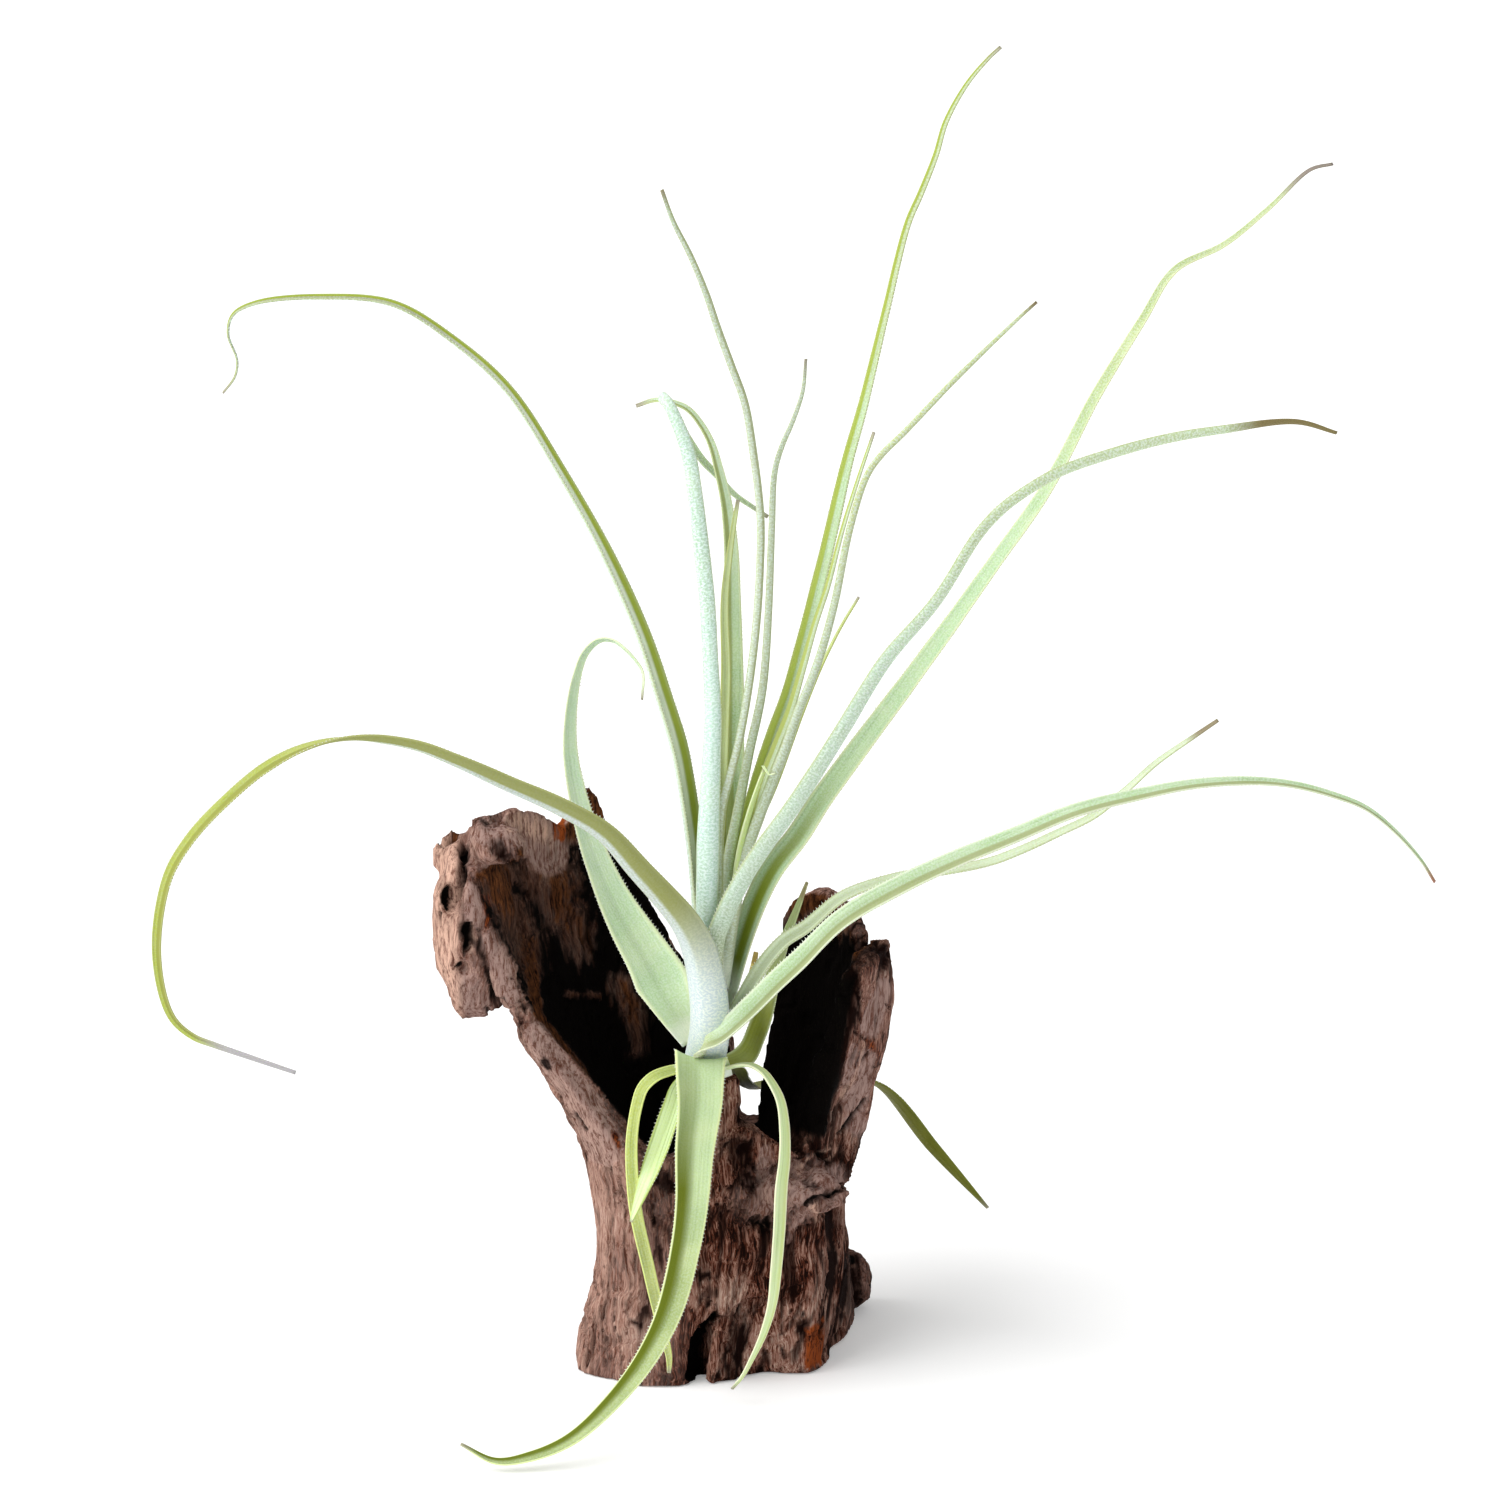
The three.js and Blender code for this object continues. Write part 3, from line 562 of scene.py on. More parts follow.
@dataclass(frozen=True)
class Stem:
    """The stem's core, a short cone that the leaves grow from. Sizes are in millimetres."""

    middle: Vector = field(default_factory=lambda: Vector((-2, -28, 121)))
    direction: Vector = field(default_factory=lambda: Vector((0.09, 0.08, 0.99)).normalized())
    bottom: float = -15.0
    top: float = 46.0
    bottom_radius: float = 5.5
    top_radius: float = 1.8
    clearance: float = 0.35
    rings: int = 12  # that fallen leaves left
    ring_swell: float = 0.06  # share of the radius
    foot_height: float = 3.5  # of the rounded foot, whose end is a quarter narrower

    def radius(self, height: float) -> float:
        """Give the core's radius at a height along its axis."""
        share = (height - self.bottom) / (self.top - self.bottom)
        return self.bottom_radius + (self.top_radius - self.bottom_radius) * share

    def seat(self, height: float, degrees: float, thickness: float) -> tuple[Vector, Vector]:
        """Find where a leaf leaves the stem.

        Args:
            height: The height along the stem's axis.
            degrees: The compass angle from +X towards +Y.
            thickness: The leaf's thickness along its midrib.

        Returns:
            The point on the leaf's midrib, and the direction out of the stem there.
        """
        angle = math.radians(degrees)
        out = Vector((math.cos(angle), math.sin(angle), 0))
        out = (out - self.direction * out.dot(self.direction)).normalized()
        reach = self.radius(height) + thickness / 2 + self.clearance
        return self.middle + self.direction * height + out * reach, out

    def build(self) -> bpy.types.Object:
        """Model the core as a cone with the rings that fallen leaves left, and a rounded foot.

        Returns:
            The stem.
        """
        height = self.top - self.bottom
        bm = bmesh.new()
        bmesh.ops.create_cone(bm, cap_ends=True, segments=32, radius1=self.bottom_radius,
                              radius2=self.top_radius, depth=height)
        upright = [edge for edge in bm.edges if abs(edge.verts[0].co.z - edge.verts[1].co.z) > 1]
        bmesh.ops.subdivide_edges(bm, edges=upright, cuts=40, use_grid_fill=True)
        low = -height / 2 - 0.5
        for vert in bm.verts:
            ring = (vert.co.z / height + 0.5) * self.rings
            swell = 1 + self.ring_swell * (ring % 1 - 0.5)
            swell *= 0.75 + 0.25 * smoothstep(low, low + self.foot_height, vert.co.z)
            vert.co.x *= swell
            vert.co.y *= swell
        place = Matrix.Translation(self.middle + self.direction * (self.bottom + height / 2))
        place = Matrix.Scale(MM, 4) @ place @ upright_on(self.direction)
        bmesh.ops.transform(bm, matrix=place, verts=bm.verts)
        bmesh.ops.recalc_face_normals(bm, faces=bm.faces)
        return new_object("stem_core", bm, StemFinish().build())


STEM = Stem()


@dataclass(frozen=True)
class Leaf:
    """One leaf, from its seat on the stem to its tip. Lengths are in millimetres, angles in degrees.

    seat is the height on the stem and the compass angle that the leaf leaves it at. route goes on from
    there, on the front view. width is the distance between the margins, curl the angle that the
    blade's channel turns through and twist the turn about the midrib, each at even steps from the base
    to the tip.
    """

    node: str
    seat: tuple[float, float]
    route: tuple[tuple[float, float, float], ...]
    width: tuple[float, ...]
    curl: tuple[float, ...]
    twist: tuple[float, ...] = (0.0,)
    look: Look = Look.MINT
    own: dict[str, Any] = field(default_factory=dict)  # what sets its skin apart from the look's
    slot: str = "leaf"
    rib: float = 1.3  # thickness along the midrib, and at the margins
    edge: float = 0.45
    free: float = 0.12  # share of the length after which the channel's middle follows the route
    pace: float = 1.3  # how far apart the blade's cross sections are
    broad: float = 7.0  # a blade that grows wider than this is finer across
    fringed: float = 6.0  # and one wider than this shows the scales along its margins
    fringe_from: float = 12.0  # where they start, and the share of the length that they end at
    fringe_to: float = 0.75

    def midrib(self, steps: int) -> tuple[list[tuple[Vector, Vector, Vector]], float]:
        """Follow the midrib with a frame at even steps.

        The curve is a centripetal Catmull-Rom spline. The upper face starts towards the stem's top
        side and is carried along the curve without a turn.

        Args:
            steps: The number of steps.

        Returns:
            A list of point, direction along and direction of the upper face, and the length.
        """
        start, out = STEM.seat(*self.seat, self.rib)
        knots = [start] + [VIEW.point(place) for place in self.route]
        knots = [2 * knots[0] - knots[1]] + knots + [2 * knots[-1] - knots[-2]]
        dense = []
        for a, b, c, d in zip(knots, knots[1:], knots[2:], knots[3:]):
            before, span, after = (max((q - p).length, 1e-4) ** 0.5 for p, q in ((a, b), (b, c), (c, d)))
            leave = ((b - a) / before - (c - a) / (before + span) + (c - b) / span) * span
            arrive = ((c - b) / span - (d - b) / (span + after) + (d - c) / after) * span
            for step in range(24):
                t = step / 24
                dense.append(b * (2 * t**3 - 3 * t**2 + 1) + leave * (t**3 - 2 * t**2 + t)
                             + c * (3 * t**2 - 2 * t**3) + arrive * (t**3 - t**2))
        dense.append(knots[-2])
        reach = [0.0]
        for p, q in zip(dense, dense[1:]):
            reach.append(reach[-1] + (q - p).length)
        points = []
        index = 0
        for step in range(steps + 1):
            goal = reach[-1] * step / steps
            while index < len(dense) - 2 and reach[index + 1] < goal:
                index += 1
            share = (goal - reach[index]) / max(reach[index + 1] - reach[index], 1e-9)
            points.append(dense[index].lerp(dense[index + 1], share))
        frames = []
        first = (points[1] - points[0]).normalized()
        upper = STEM.direction * first.dot(out) - out * first.dot(STEM.direction)
        for step, point in enumerate(points):
            along = (points[min(step + 1, steps)] - points[max(step - 1, 0)]).normalized()
            upper = (upper - along * upper.dot(along)).normalized()
            frames.append((point, along, upper))
        return frames, reach[-1]

    def build(self) -> bpy.types.Object:
        """Model the blade as a thin slab, bent to the leaf's form, with a fringe of scales.

        Returns:
            The leaf, with its place across, along and through it as attributes.
        """
        facets = 16 if max(self.width) > self.broad else 10
        steps = round(self.midrib(40)[1] / self.pace)
        frames, length = self.midrib(steps)
        grow = random.Random(self.node)
        phase = grow.uniform(0, 100)
        bm = bmesh.new()
        bmesh.ops.create_grid(bm, x_segments=facets, y_segments=steps, size=1.0)
        bmesh.ops.translate(bm, vec=(0, 0, -1), verts=bm.verts)
        doubled = bmesh.ops.extrude_face_region(bm, geom=bm.faces[:], use_keep_orig=True)["geom"]
        lifted = [item for item in doubled if isinstance(item, bmesh.types.BMVert)]
        bmesh.ops.translate(bm, vec=(0, 0, 2), verts=lifted)
        bmesh.ops.recalc_face_normals(bm, faces=bm.faces)
        layers = vertex_layers(bm, PLACE)
        blade_map = bm.loops.layers.uv.new("blade")
        for vert in bm.verts:
            across, along, through = vert.co.x, (vert.co.y + 1) / 2, vert.co.z
            store(vert, layers, (across, along, (through + 1) / 2))
            vert.co = self.bend(frames, across, along, through, length, phase) * MM
        for face in bm.faces:
            for loop in face.loops:
                across, along = (loop.vert[layer] for layer in layers[:2])
                loop[blade_map].uv = (across * value_at(self.width, along) / 2 + phase, along * length)
        if max(self.width) > self.fringed:
            self.add_fringe(bm, frames, length, phase, grow)
        skin = replace(self.look.value, name=self.node + "_skin", **self.own)
        return new_object(self.node + "_blade", bm, skin.build())

    def bend(self, frames: list[tuple[Vector, Vector, Vector]], across: float, along: float, through: float,
             length: float, phase: float) -> Vector:
        """Place one point of the flat slab on the leaf.

        Args:
            frames: The midrib's frames.
            across: From -1 to 1 between the margins.
            along: From 0 at the base to 1 at the tip.
            through: -1 on the under side, 1 on the upper face.
            length: The leaf's length.
            phase: What sets this leaf's waves apart from the others'.

        Returns:
            The point, in millimetres.
        """
        point, ahead, upper = frames[round(along * (len(frames) - 1))]
        upper = Quaternion(ahead, math.radians(value_at(self.twist, along))) @ upper
        side = upper.cross(ahead)
        place = along * length
        # Ripples 16 mm long widen and narrow the blade, each margin by its own, and waves 22 mm long
        # lift its margins. The crease along the midrib is a tenth of the blade wide
        ripple = noise.noise(Vector((place / 16, phase, math.copysign(7.3, across))))
        chord = value_at(self.width, along) * (1 + 0.05 * ripple * abs(across))
        curl = math.radians(value_at(self.curl, along))
        radius = chord / 2 / math.sin(curl / 2)
        angle = across * curl / 2
        depth = radius * (1 - math.cos(curl / 2)) * min(1.0, along / self.free)
        share = max(abs(across) ** 1.5, along)
        thickness = self.rib + (self.edge - self.rib) * share
        crease = 0.018 * chord * math.exp(-(across / 0.09) ** 2) * smoothstep(0, 0.1, along)
        wave = 0.025 * chord * noise.noise(Vector((place / 22, phase + 9, across * 0.6))) * across * across
        lift = radius * (1 - math.cos(angle)) - depth / 2 - crease + wave
        return (point + side * (radius * math.sin(angle) - through * thickness / 2 * math.sin(angle))
                + upper * (lift + through * thickness / 2 * math.cos(angle)))

    def add_fringe(self, bm: bmesh.types.BMesh, frames: list[tuple[Vector, Vector, Vector]], length: float,
                   phase: float, grow: random.Random) -> None:
        """Set the scales that stand out along the margins, each a sliver.

        They are up to 1 mm long and 0.1 mm wide, and made 0.4 mm wide so that they show.

        Args:
            bm: The blade's mesh, which the scales are added to.
            frames: The midrib's frames.
            length: The leaf's length.
            phase: The same as the blade's.
            grow: The leaf's own source of chance.
        """
        layers = vertex_layers(bm, PLACE)
        for margin in (-1, 1):
            place = self.fringe_from
            while place < length * self.fringe_to:
                along = place / length
                foot = self.bend(frames, margin, along, 0, length, phase)
                inner = self.bend(frames, margin * 0.9, along, 0, length, phase)
                ahead = frames[round(along * (len(frames) - 1))][1]
                out = ((foot - inner).normalized() + ahead * grow.uniform(0.1, 0.8)).normalized()
                size = grow.uniform(0.5, 1.0)
                shift = Matrix.Translation((foot + out * size * 0.35) * MM)
                made = bmesh.ops.create_cone(bm, cap_ends=True, segments=3, radius1=0.24 * MM, radius2=0,
                                             depth=size * MM, matrix=shift @ upright_on(out))
                for vert in made["verts"]:
                    store(vert, layers, (margin * 1.4, along, 0.5))
                place += grow.uniform(0.7, 1.4)


# Every leaf, from the top of the stem down
LEAVES = (
    Leaf(
        "leaf_heart_small", (40, 20),
        ((12.3, 167.7, -24), (20.7, 187.7, -23.5), (29.3, 211, -21.5), (35.7, 226.7, -20),
         (42, 239.3, -18.5), (48, 249.3, -17)),
        (2, 2.3, 2.3, 2, 1.7, 1.2), (60, 60, 40),
        (0,), look=Look.OLIVE, own={"upper": "#cdd794", "under": "#c6cf92"},
    ),
    Leaf(
        "leaf_heart_young", (38, 340),
        ((8.7, 165, -29), (11, 175, -29.5), (14, 185, -30), (16.7, 192.3, -30)),
        (3.4, 5, 5.6, 4.6, 2.4), (90, 80, 60),
        (0,), look=Look.YOUNG, own={"upper": "#e2f5a0", "under": "#d9ee90"},
    ),
    Leaf(
        "leaf_heart_slim", (34, 30),
        ((15.7, 186.7, -25), (20, 198.3, -23), (25, 211, -21), (29.3, 225.7, -19), (33.3, 240, -17),
         (37.7, 253.3, -15), (42.3, 271, -12), (47.3, 287.3, -10), (53, 304.3, -8)),
        (3.5, 4.3, 4.2, 3.6, 2.8, 2.2, 1.6, 1.1), (110, 90, 60),
        (15,), look=Look.PALE, own={"half": "#b3bd52", "half_strength": 0.8, "half_side": 1},
    ),
    Leaf(
        "leaf_heart_olive", (34, 95),
        ((2.3, 181.7, -25), (3, 200.7, -22), (3.7, 224.7, -18), (3.3, 248.3, -14), (5.3, 266.7, -11),
         (7.7, 281.7, -9)),
        (3.2, 3.4, 3.4, 3.2, 2.4, 1.1), (110, 90, 60),
        (0,), look=Look.OLIVE, own={"far": "#d2dea6", "far_strength": 0.9, "far_from": 0.25},
    ),
    Leaf(
        "leaf_back_folded", (30, 105),
        ((6.5, 172, -13), (6, 196, -9), (6, 224.7, -4), (5.7, 245, -1), (5.3, 266.7, 0), (3.7, 281, 0),
         (1.3, 291.7, -1), (-1.3, 300.7, -1), (-4.7, 307, -1), (-9, 312, -1), (-14.3, 314.3, 0),
         (-20, 315, 1), (-26.3, 313, 2)),
        (6, 7, 7.4, 7.2, 6, 4, 2.2, 1.1), (100, 70, 80),
        (0,), look=Look.MINT, own={"half": "#98a256", "half_strength": 0.8, "half_side": 1,
        "far": "#d6e6c6", "far_strength": 0.6, "far_from": 0.45},
    ),
    Leaf(
        "leaf_tallest", (28, 60),
        ((10, 168.3, -20), (14.3, 185, -18), (19.7, 201.7, -16), (25, 216.7, -14), (29.3, 232.3, -11),
         (36.7, 262, -6), (43.7, 292, -1), (49.7, 314, 3), (57.3, 345.7, 9), (64.3, 373.7, 15),
         (68.7, 384, 17), (73.7, 396.7, 20), (77, 407.7, 22), (84, 420.3, 25), (91.3, 429, 27),
         (95.3, 432.7, 28)),
        (5, 6, 6.4, 5.8, 5.2, 4.6, 3.6, 2.8, 2.3, 1.8, 1.1), (110, 80, 90),
        (0,), look=Look.PALE, own={"upper": "#b2cd9c", "half": "#a8b836", "half_strength": 0.85,
        "half_side": 1, "half_at": 0.25, "far": "#a5aa6a", "far_strength": 0.6},
    ),
    Leaf(
        "leaf_upright_round", (26, 350),
        ((4.7, 160, -27), (7.7, 177, -25), (11.3, 196, -23), (16, 218.7, -20), (18, 245, -17),
         (19, 271.7, -14), (20, 291, -12), (22.3, 299.3, -11), (26.3, 308.7, -10), (29.3, 318, -9),
         (30.3, 328.7, -8)),
        (5, 5.2, 4.3, 3.6, 3.2, 3, 2.6, 2.2, 1.1), (120, 120, 80),
        (-35,), look=Look.PALE, own={"half": "#979e66", "half_strength": 0.5, "half_side": 1},
    ),
    Leaf(
        "leaf_upright_thin", (22, 300),
        ((2.3, 176.7, -31), (5.3, 190, -30), (8, 200.7, -29), (11.7, 221.7, -27), (14, 241.3, -26),
         (15, 256.7, -25), (15.3, 275.7, -24), (12.7, 298.7, -24), (10, 314, -25), (5.7, 326, -26),
         (1.3, 338, -28), (-3, 350.7, -30), (-8, 362.7, -32), (-14, 374.7, -34), (-17.7, 385, -36)),
        (3, 2.9, 2.8, 2.7, 2.6, 2.5, 2.2, 1.1), (120, 110, 80),
        (0,), look=Look.PALE, own={"half": "#8f9650", "half_strength": 0.6, "half_side": 1,
        "tip": "#8d8062"},
    ),
    Leaf(
        "leaf_right_slim", (20, 335),
        ((9.3, 159, -29), (15.3, 177, -29), (19.7, 188.7, -28), (23.7, 199, -27), (28, 211.3, -26),
         (32.7, 222.7, -25), (36.3, 233.3, -24), (40, 247.3, -23), (45.3, 273, -21), (50.7, 289.7, -19),
         (55, 296, -18), (63.3, 304.3, -17), (80, 321.7, -15), (101.7, 342.7, -12), (107.3, 347.7, -11)),
        (4.5, 4.8, 4.4, 3.6, 3, 2.6, 2.4, 2.1, 1.1), (120, 110, 80),
        (-30,), look=Look.PALE, own={"tip": "#7d6a4a", "far": "#c6cf78", "far_strength": 0.75,
        "far_from": 0.45, "half": "#979c6a", "half_strength": 0.4, "half_side": 1},
    ),
    Leaf(
        "leaf_left_arch", (16, 170),
        ((-6, 155, -24), (-8.3, 175, -22), (-12.3, 198.3, -20), (-18.3, 218.3, -18), (-25, 238.3, -15),
         (-37.7, 266.3, -12), (-51, 290.3, -8), (-69, 318.3, -4), (-87, 334.7, 0), (-107.3, 347, 3),
         (-131.7, 349.3, 6), (-153, 347.3, 8), (-160.7, 343.3, 9), (-162.3, 336.7, 9), (-159.3, 328.3, 8),
         (-160, 322.7, 8), (-164, 317.3, 8)),
        (9, 9.5, 9, 7.2, 5.2, 4.2, 3.4, 2.6, 1.1), (120, 140, 120),
        (-18,), look=Look.SILVER, own={"upper": "#eef6e2", "under": "#c6d4bc", "channel_shade_strength": 0.0,
        "half": "#98a824", "half_strength": 0.95, "half_side": -1, "half_at": 0.4, "bloom": 0.25,
        "far": "#7f8050", "far_strength": 0.85, "far_from": 0.55},
    ),
    Leaf(
        "leaf_centre_upright", (12, 262),
        ((-2.8, 141, -36), (-2.3, 168, -36), (-1.7, 185.7, -34), (-0.8, 209.7, -31), (-1.5, 226.3, -28),
         (-2.8, 248.7, -24), (-4.7, 266.3, -20), (-7, 285.3, -16), (-9, 297.3, -13), (-13, 308.3, -11),
         (-16, 314.3, -9), (-18, 316.3, -6), (-16.3, 314, -2), (-13, 308.3, 2), (-8.3, 300.7, 5),
         (-4, 294.7, 8), (0.3, 290.3, 11), (6.3, 283.7, 13), (12, 279.7, 15), (17.7, 276, 16)),
        (7, 7, 7.3, 5.7, 4.8, 5, 4.6, 3.2, 2.4, 1.1), (130, 130, 120, 90),
        (0,), look=Look.SILVER, own={"under": "#b4d4c2", "margin": "#cfdcb4", "far": "#a9c29c",
        "far_strength": 0.5, "far_from": 0.35},
    ),
    Leaf(
        "leaf_right_tall", (10, 15),
        ((9.7, 134.7, -25), (14.3, 148.3, -25), (19.7, 159, -24), (28, 169.7, -21), (36.7, 183, -18),
         (54, 206.7, -13), (74, 233.7, -7), (93, 260.3, -1), (111, 286, 5), (127, 316.3, 11),
         (142.3, 341.3, 16), (153.3, 358.3, 19), (170, 367, 22), (184.7, 379, 25), (198.3, 391.7, 28),
         (206, 393.7, 30)),
        (9, 11, 10, 8.5, 7, 5.8, 5, 4.2, 3, 2, 1.1), (70, 50, 60),
        (20, 30, 30, 30), look=Look.MINT, own={"upper": "#a9c892", "heart": "#7b8a1e",
        "channel_shade_strength": 1.0, "channel_shade_reach": 0.29, "margin": "#dbe0b4", "margin_strength": 0.75,
        "far": "#a5b062", "far_strength": 0.75, "far_from": 0.5, "tip": "#8d8378", "tip_from": 0.93},
    ),
    Leaf(
        "leaf_right_bent", (8, 300),
        ((0.3, 133.3, -38), (4, 144, -39), (9.7, 155, -40), (17, 166.3, -41), (28, 181.7, -42),
         (42.3, 204, -43), (56.7, 227.3, -43), (74.3, 248.3, -42), (88, 270, -40), (96, 278.7, -38),
         (105.7, 285.7, -36), (115.3, 291, -34), (130, 296.3, -31), (149.7, 301.7, -27), (169.3, 305, -24),
         (193.7, 307.7, -20), (207.3, 304, -18)),
        (7, 7.6, 7, 6.2, 5.4, 4.4, 4.1, 4, 3.2, 1.1), (110, 110, 90),
        (0,), look=Look.SILVER, own={"under": "#b0c8ae", "silver": "#e0ede4", "scales": 0.65,
        "margin": "#a9b27c", "base": "#9aa46c", "base_reach": 0.14, "far": "#b4c383", "far_strength": 0.75,
        "far_from": 0.4, "tip": "#7d7148", "tip_from": 0.88},
    ),
    Leaf(
        "leaf_left_broad", (0, 160),
        ((-14.3, 113.3, -22), (-21, 126.7, -14), (-29, 140, -7), (-36.3, 154.3, -1), (-42.3, 170, 3),
         (-46.3, 185, 6), (-48.3, 198.3, 8), (-48, 211.7, 8), (-46, 223.3, 7), (-43, 231, 6),
         (-38.3, 235, 4), (-33.7, 234.7, 2), (-30, 232, 0), (-26.3, 228, -1), (-24, 224, -2),
         (-24.3, 215, -3)),
        (8, 19, 14.5, 9.6, 7, 5, 3.4, 2.4, 1.1), (60, 50, 60, 90),
        (-45, -42, -40, -40, -60), look=Look.MINT, own={"upper": "#b4d19c", "bloom": 0.45,
        "channel_shade_strength": 0.1, "veins": 0.15, "margin": "#e6eec2", "far": "#c6dfba", "far_strength": 0.7,
        "far_from": 0.22},
    ),
    Leaf(
        "leaf_right_twisted", (4, 335),
        ((11.3, 118.3, -34), (16, 126, -33), (23, 134.3, -32), (30.7, 139.3, -31), (43.3, 149.7, -30),
         (61.7, 156, -28), (76.7, 158, -27), (91.7, 161, -26), (102.3, 165, -25), (115.3, 171, -24),
         (126, 176.3, -22), (136.7, 184.7, -20), (147, 194, -18), (160.3, 203.3, -16), (167.7, 208.3, -15)),
        (6, 7.3, 5.8, 4.2, 3.6, 3.2, 2.8, 2.2, 1.3), (90, 80, 60),
        (50, 65, 70), look=Look.PALE, own={"upper": "#cddab4", "under": "#cfdcb8", "tip": "#8f8468",
        "tip_from": 0.93},
    ),
    Leaf(
        "leaf_dry_stub", (4, 70),
        ((10, 115, -16), (12.3, 123.3, -14), (13.7, 131, -12)),
        (5.5, 5, 3, 1.6), (60, 40),
        (0,), look=Look.DRY, slot="dry_leaf",
    ),
    Leaf(
        "leaf_left_low_arch", (-9, 238),
        ((-3.3, 104, -41), (-3.3, 116, -43), (-5.3, 129.7, -44), (-9.7, 139.3, -46), (-17.3, 149, -48),
         (-25.7, 158.3, -50), (-36.7, 170.3, -52), (-49.3, 178, -54), (-70, 187.3, -57),
         (-85.7, 194.3, -59), (-101.3, 200, -60), (-122, 202.3, -62), (-136.7, 199, -63),
         (-150.3, 192, -64), (-163.7, 180.7, -65), (-175.3, 168, -65), (-182.7, 154.7, -65),
         (-186, 129.7, -65), (-181.3, 109.7, -65), (-174.3, 103, -65), (-167, 100, -66),
         (-153.3, 95.3, -67), (-139.7, 90.7, -68)),
        (14.5, 13.5, 9.2, 6.8, 6, 4.7, 4.1, 4.1, 3.4, 2.6, 1.4), (140, 110, 80, 80, 80),
        (0, 10, 20, 25, 20, 0, -90, -95, -110, -120, -120), look=Look.OLIVE, own={"under": "#bcc6ba",
        "upper": "#8f9440", "silver": "#d5e0e4", "margin": "#b4b878", "scales": 0.6, "base": "#bccdd3",
        "base_reach": 0.2, "half": "#8b8f3e", "half_strength": 0.88, "half_side": 1, "half_at": -0.1,
        "far": "#b0bd42", "far_strength": 0.9, "far_from": 0.38, "tip": "#b3b0b2", "tip_from": 0.9},
    ),
    # Its sheath is painted darker than the others': painted shade among the leaf bases
    Leaf(
        "leaf_right_low_arc", (-1, 285),
        ((-3.5, 100.5, -44.5), (2, 103, -47), (8, 108.3, -47.5), (14, 114.3, -47), (20, 120.3, -46),
         (28.3, 128, -45), (41.7, 141.3, -44), (61.3, 153, -43), (81.3, 162.3, -41), (101, 170.3, -39),
         (120.7, 178.3, -37), (140.7, 183.3, -35), (160.3, 187, -33), (180, 188, -31), (193.3, 186.7, -30),
         (206.3, 183.3, -29), (217, 179, -28), (226.3, 171.7, -27), (235.3, 161.7, -26), (240, 154.3, -25)),
        (9, 10.5, 8, 7, 6, 5, 3.9, 2.9, 2, 1.1), (90, 60, 60),
        (60, 95, 95, 95), look=Look.MINT, own={"half": "#949a68", "half_strength": 0.8, "half_side": -1,
        "tip": "#a5705a", "margin": "#e2ead0", "base": "#b9c283", "base_reach": 0.07},
    ),
    Leaf(
        "leaf_back_upright", (-9, 58),
        ((10.5, 96.5, -16), (14.3, 104, -17), (17, 112, -17), (19.3, 121.5, -16), (23, 133.7, -14),
         (28, 147, -12), (30.7, 154.3, -11)),
        (4, 8.5, 8.7, 7.2, 5, 3, 1.1), (90, 80, 60),
        (25,), look=Look.SHADED, own={"upper": "#9aa43c", "under": "#9ea842", "channel_shade_strength": 0.15,
        "far": "#bccca0", "far_strength": 0.6, "far_from": 0.4, "margin": "#c3cf9a", "margin_strength": 0.8,
        "tip": "#a39a70", "tip_from": 0.9},
    ),
    Leaf(
        "leaf_front_hanging", (-10, 262),
        ((-5, 95.5, -43), (-5, 90, -46.5), (-5, 81.7, -48), (-6.7, 65, -51), (-7.7, 48.3, -57),
         (-10, 31.7, -63), (-15, 11.7, -73), (-23.3, -5, -83), (-35, -20, -92), (-48.3, -31.7, -99),
         (-61.7, -37.3, -102), (-73.3, -38.7, -103), (-84.7, -33, -102)),
        (19, 15.5, 12.5, 10.3, 8.6, 6.9, 5.2, 4, 1.1), (60, 50, 50),
        (0, 0, 0, 10, 25, 35, 45), look=Look.HANGING, own={"upper": "#b7cf96", "veins": 0.3,
        "half": "#66730c", "half_strength": 1.0, "half_side": -1, "half_at": 0.12, "half_soft": 0.4,
        "half_from": 0.3, "margin_from": 0.87, "margin": "#e3efb0", "margin_strength": 0.95,
        "channel_shade_strength": 0.0, "far": "#828e28", "far_strength": 0.65, "far_from": 0.25},
    ),
    Leaf(
        "leaf_back_hanging", (-10, 80),
        ((6, 92.5, -11), (8, 89, 4), (10, 87, 20), (12.7, 86, 36), (20.5, 87.5, 48), (38, 89.5, 55),
         (54.3, 86.7, 59), (73, 65.5, 61), (91, 45.7, 62)),
        (7, 7, 6.5, 6.5, 7.5, 8, 5, 1.1), (60, 40, 40),
        (0, 0, 0, 0, -20, -50, -60), look=Look.SHADED, own={"upper": "#686c06", "under": "#70740e",
        "scales": 0.0, "bloom": 0.0, "margin_strength": 0.3},
    ),
    Leaf(
        "leaf_front_right_hanging", (-7, 310),
        ((4, 92.3, -38), (7.7, 93.3, -41), (12, 93.3, -44), (16, 91, -46), (19, 87, -48), (21.7, 81.3, -49),
         (23, 72, -50), (23, 62, -51), (22, 52.3, -52), (21.3, 37.7, -53), (20.3, 25, -53), (19, 13.3, -53),
         (16, 3.3, -52), (12, -5.3, -50), (9.3, -10.3, -49), (5.7, -14.7, -48)),
        (4.5, 3, 4.5, 6, 6, 5.2, 4.5, 3.8, 3, 2, 1.1), (80, 60, 60),
        (0, 20, 50, 50), look=Look.HANGING, own={"upper": "#d6ebaa", "under": "#d0e4a4",
        "margin": "#f1f4cf", "margin_strength": 0.8, "heart": "#b4c87a", "veins": 0.5, "half": "#bcc86c",
        "half_strength": 0.6, "half_side": 1, "half_at": 0.45, "half_soft": 0.3},
    ),
    Leaf(
        "leaf_front_left_long", (-8, 205),
        ((-15.7, 91, -38), (-20.3, 89.3, -41), (-24, 85.7, -43), (-26, 80, -45), (-27.7, 68.3, -47),
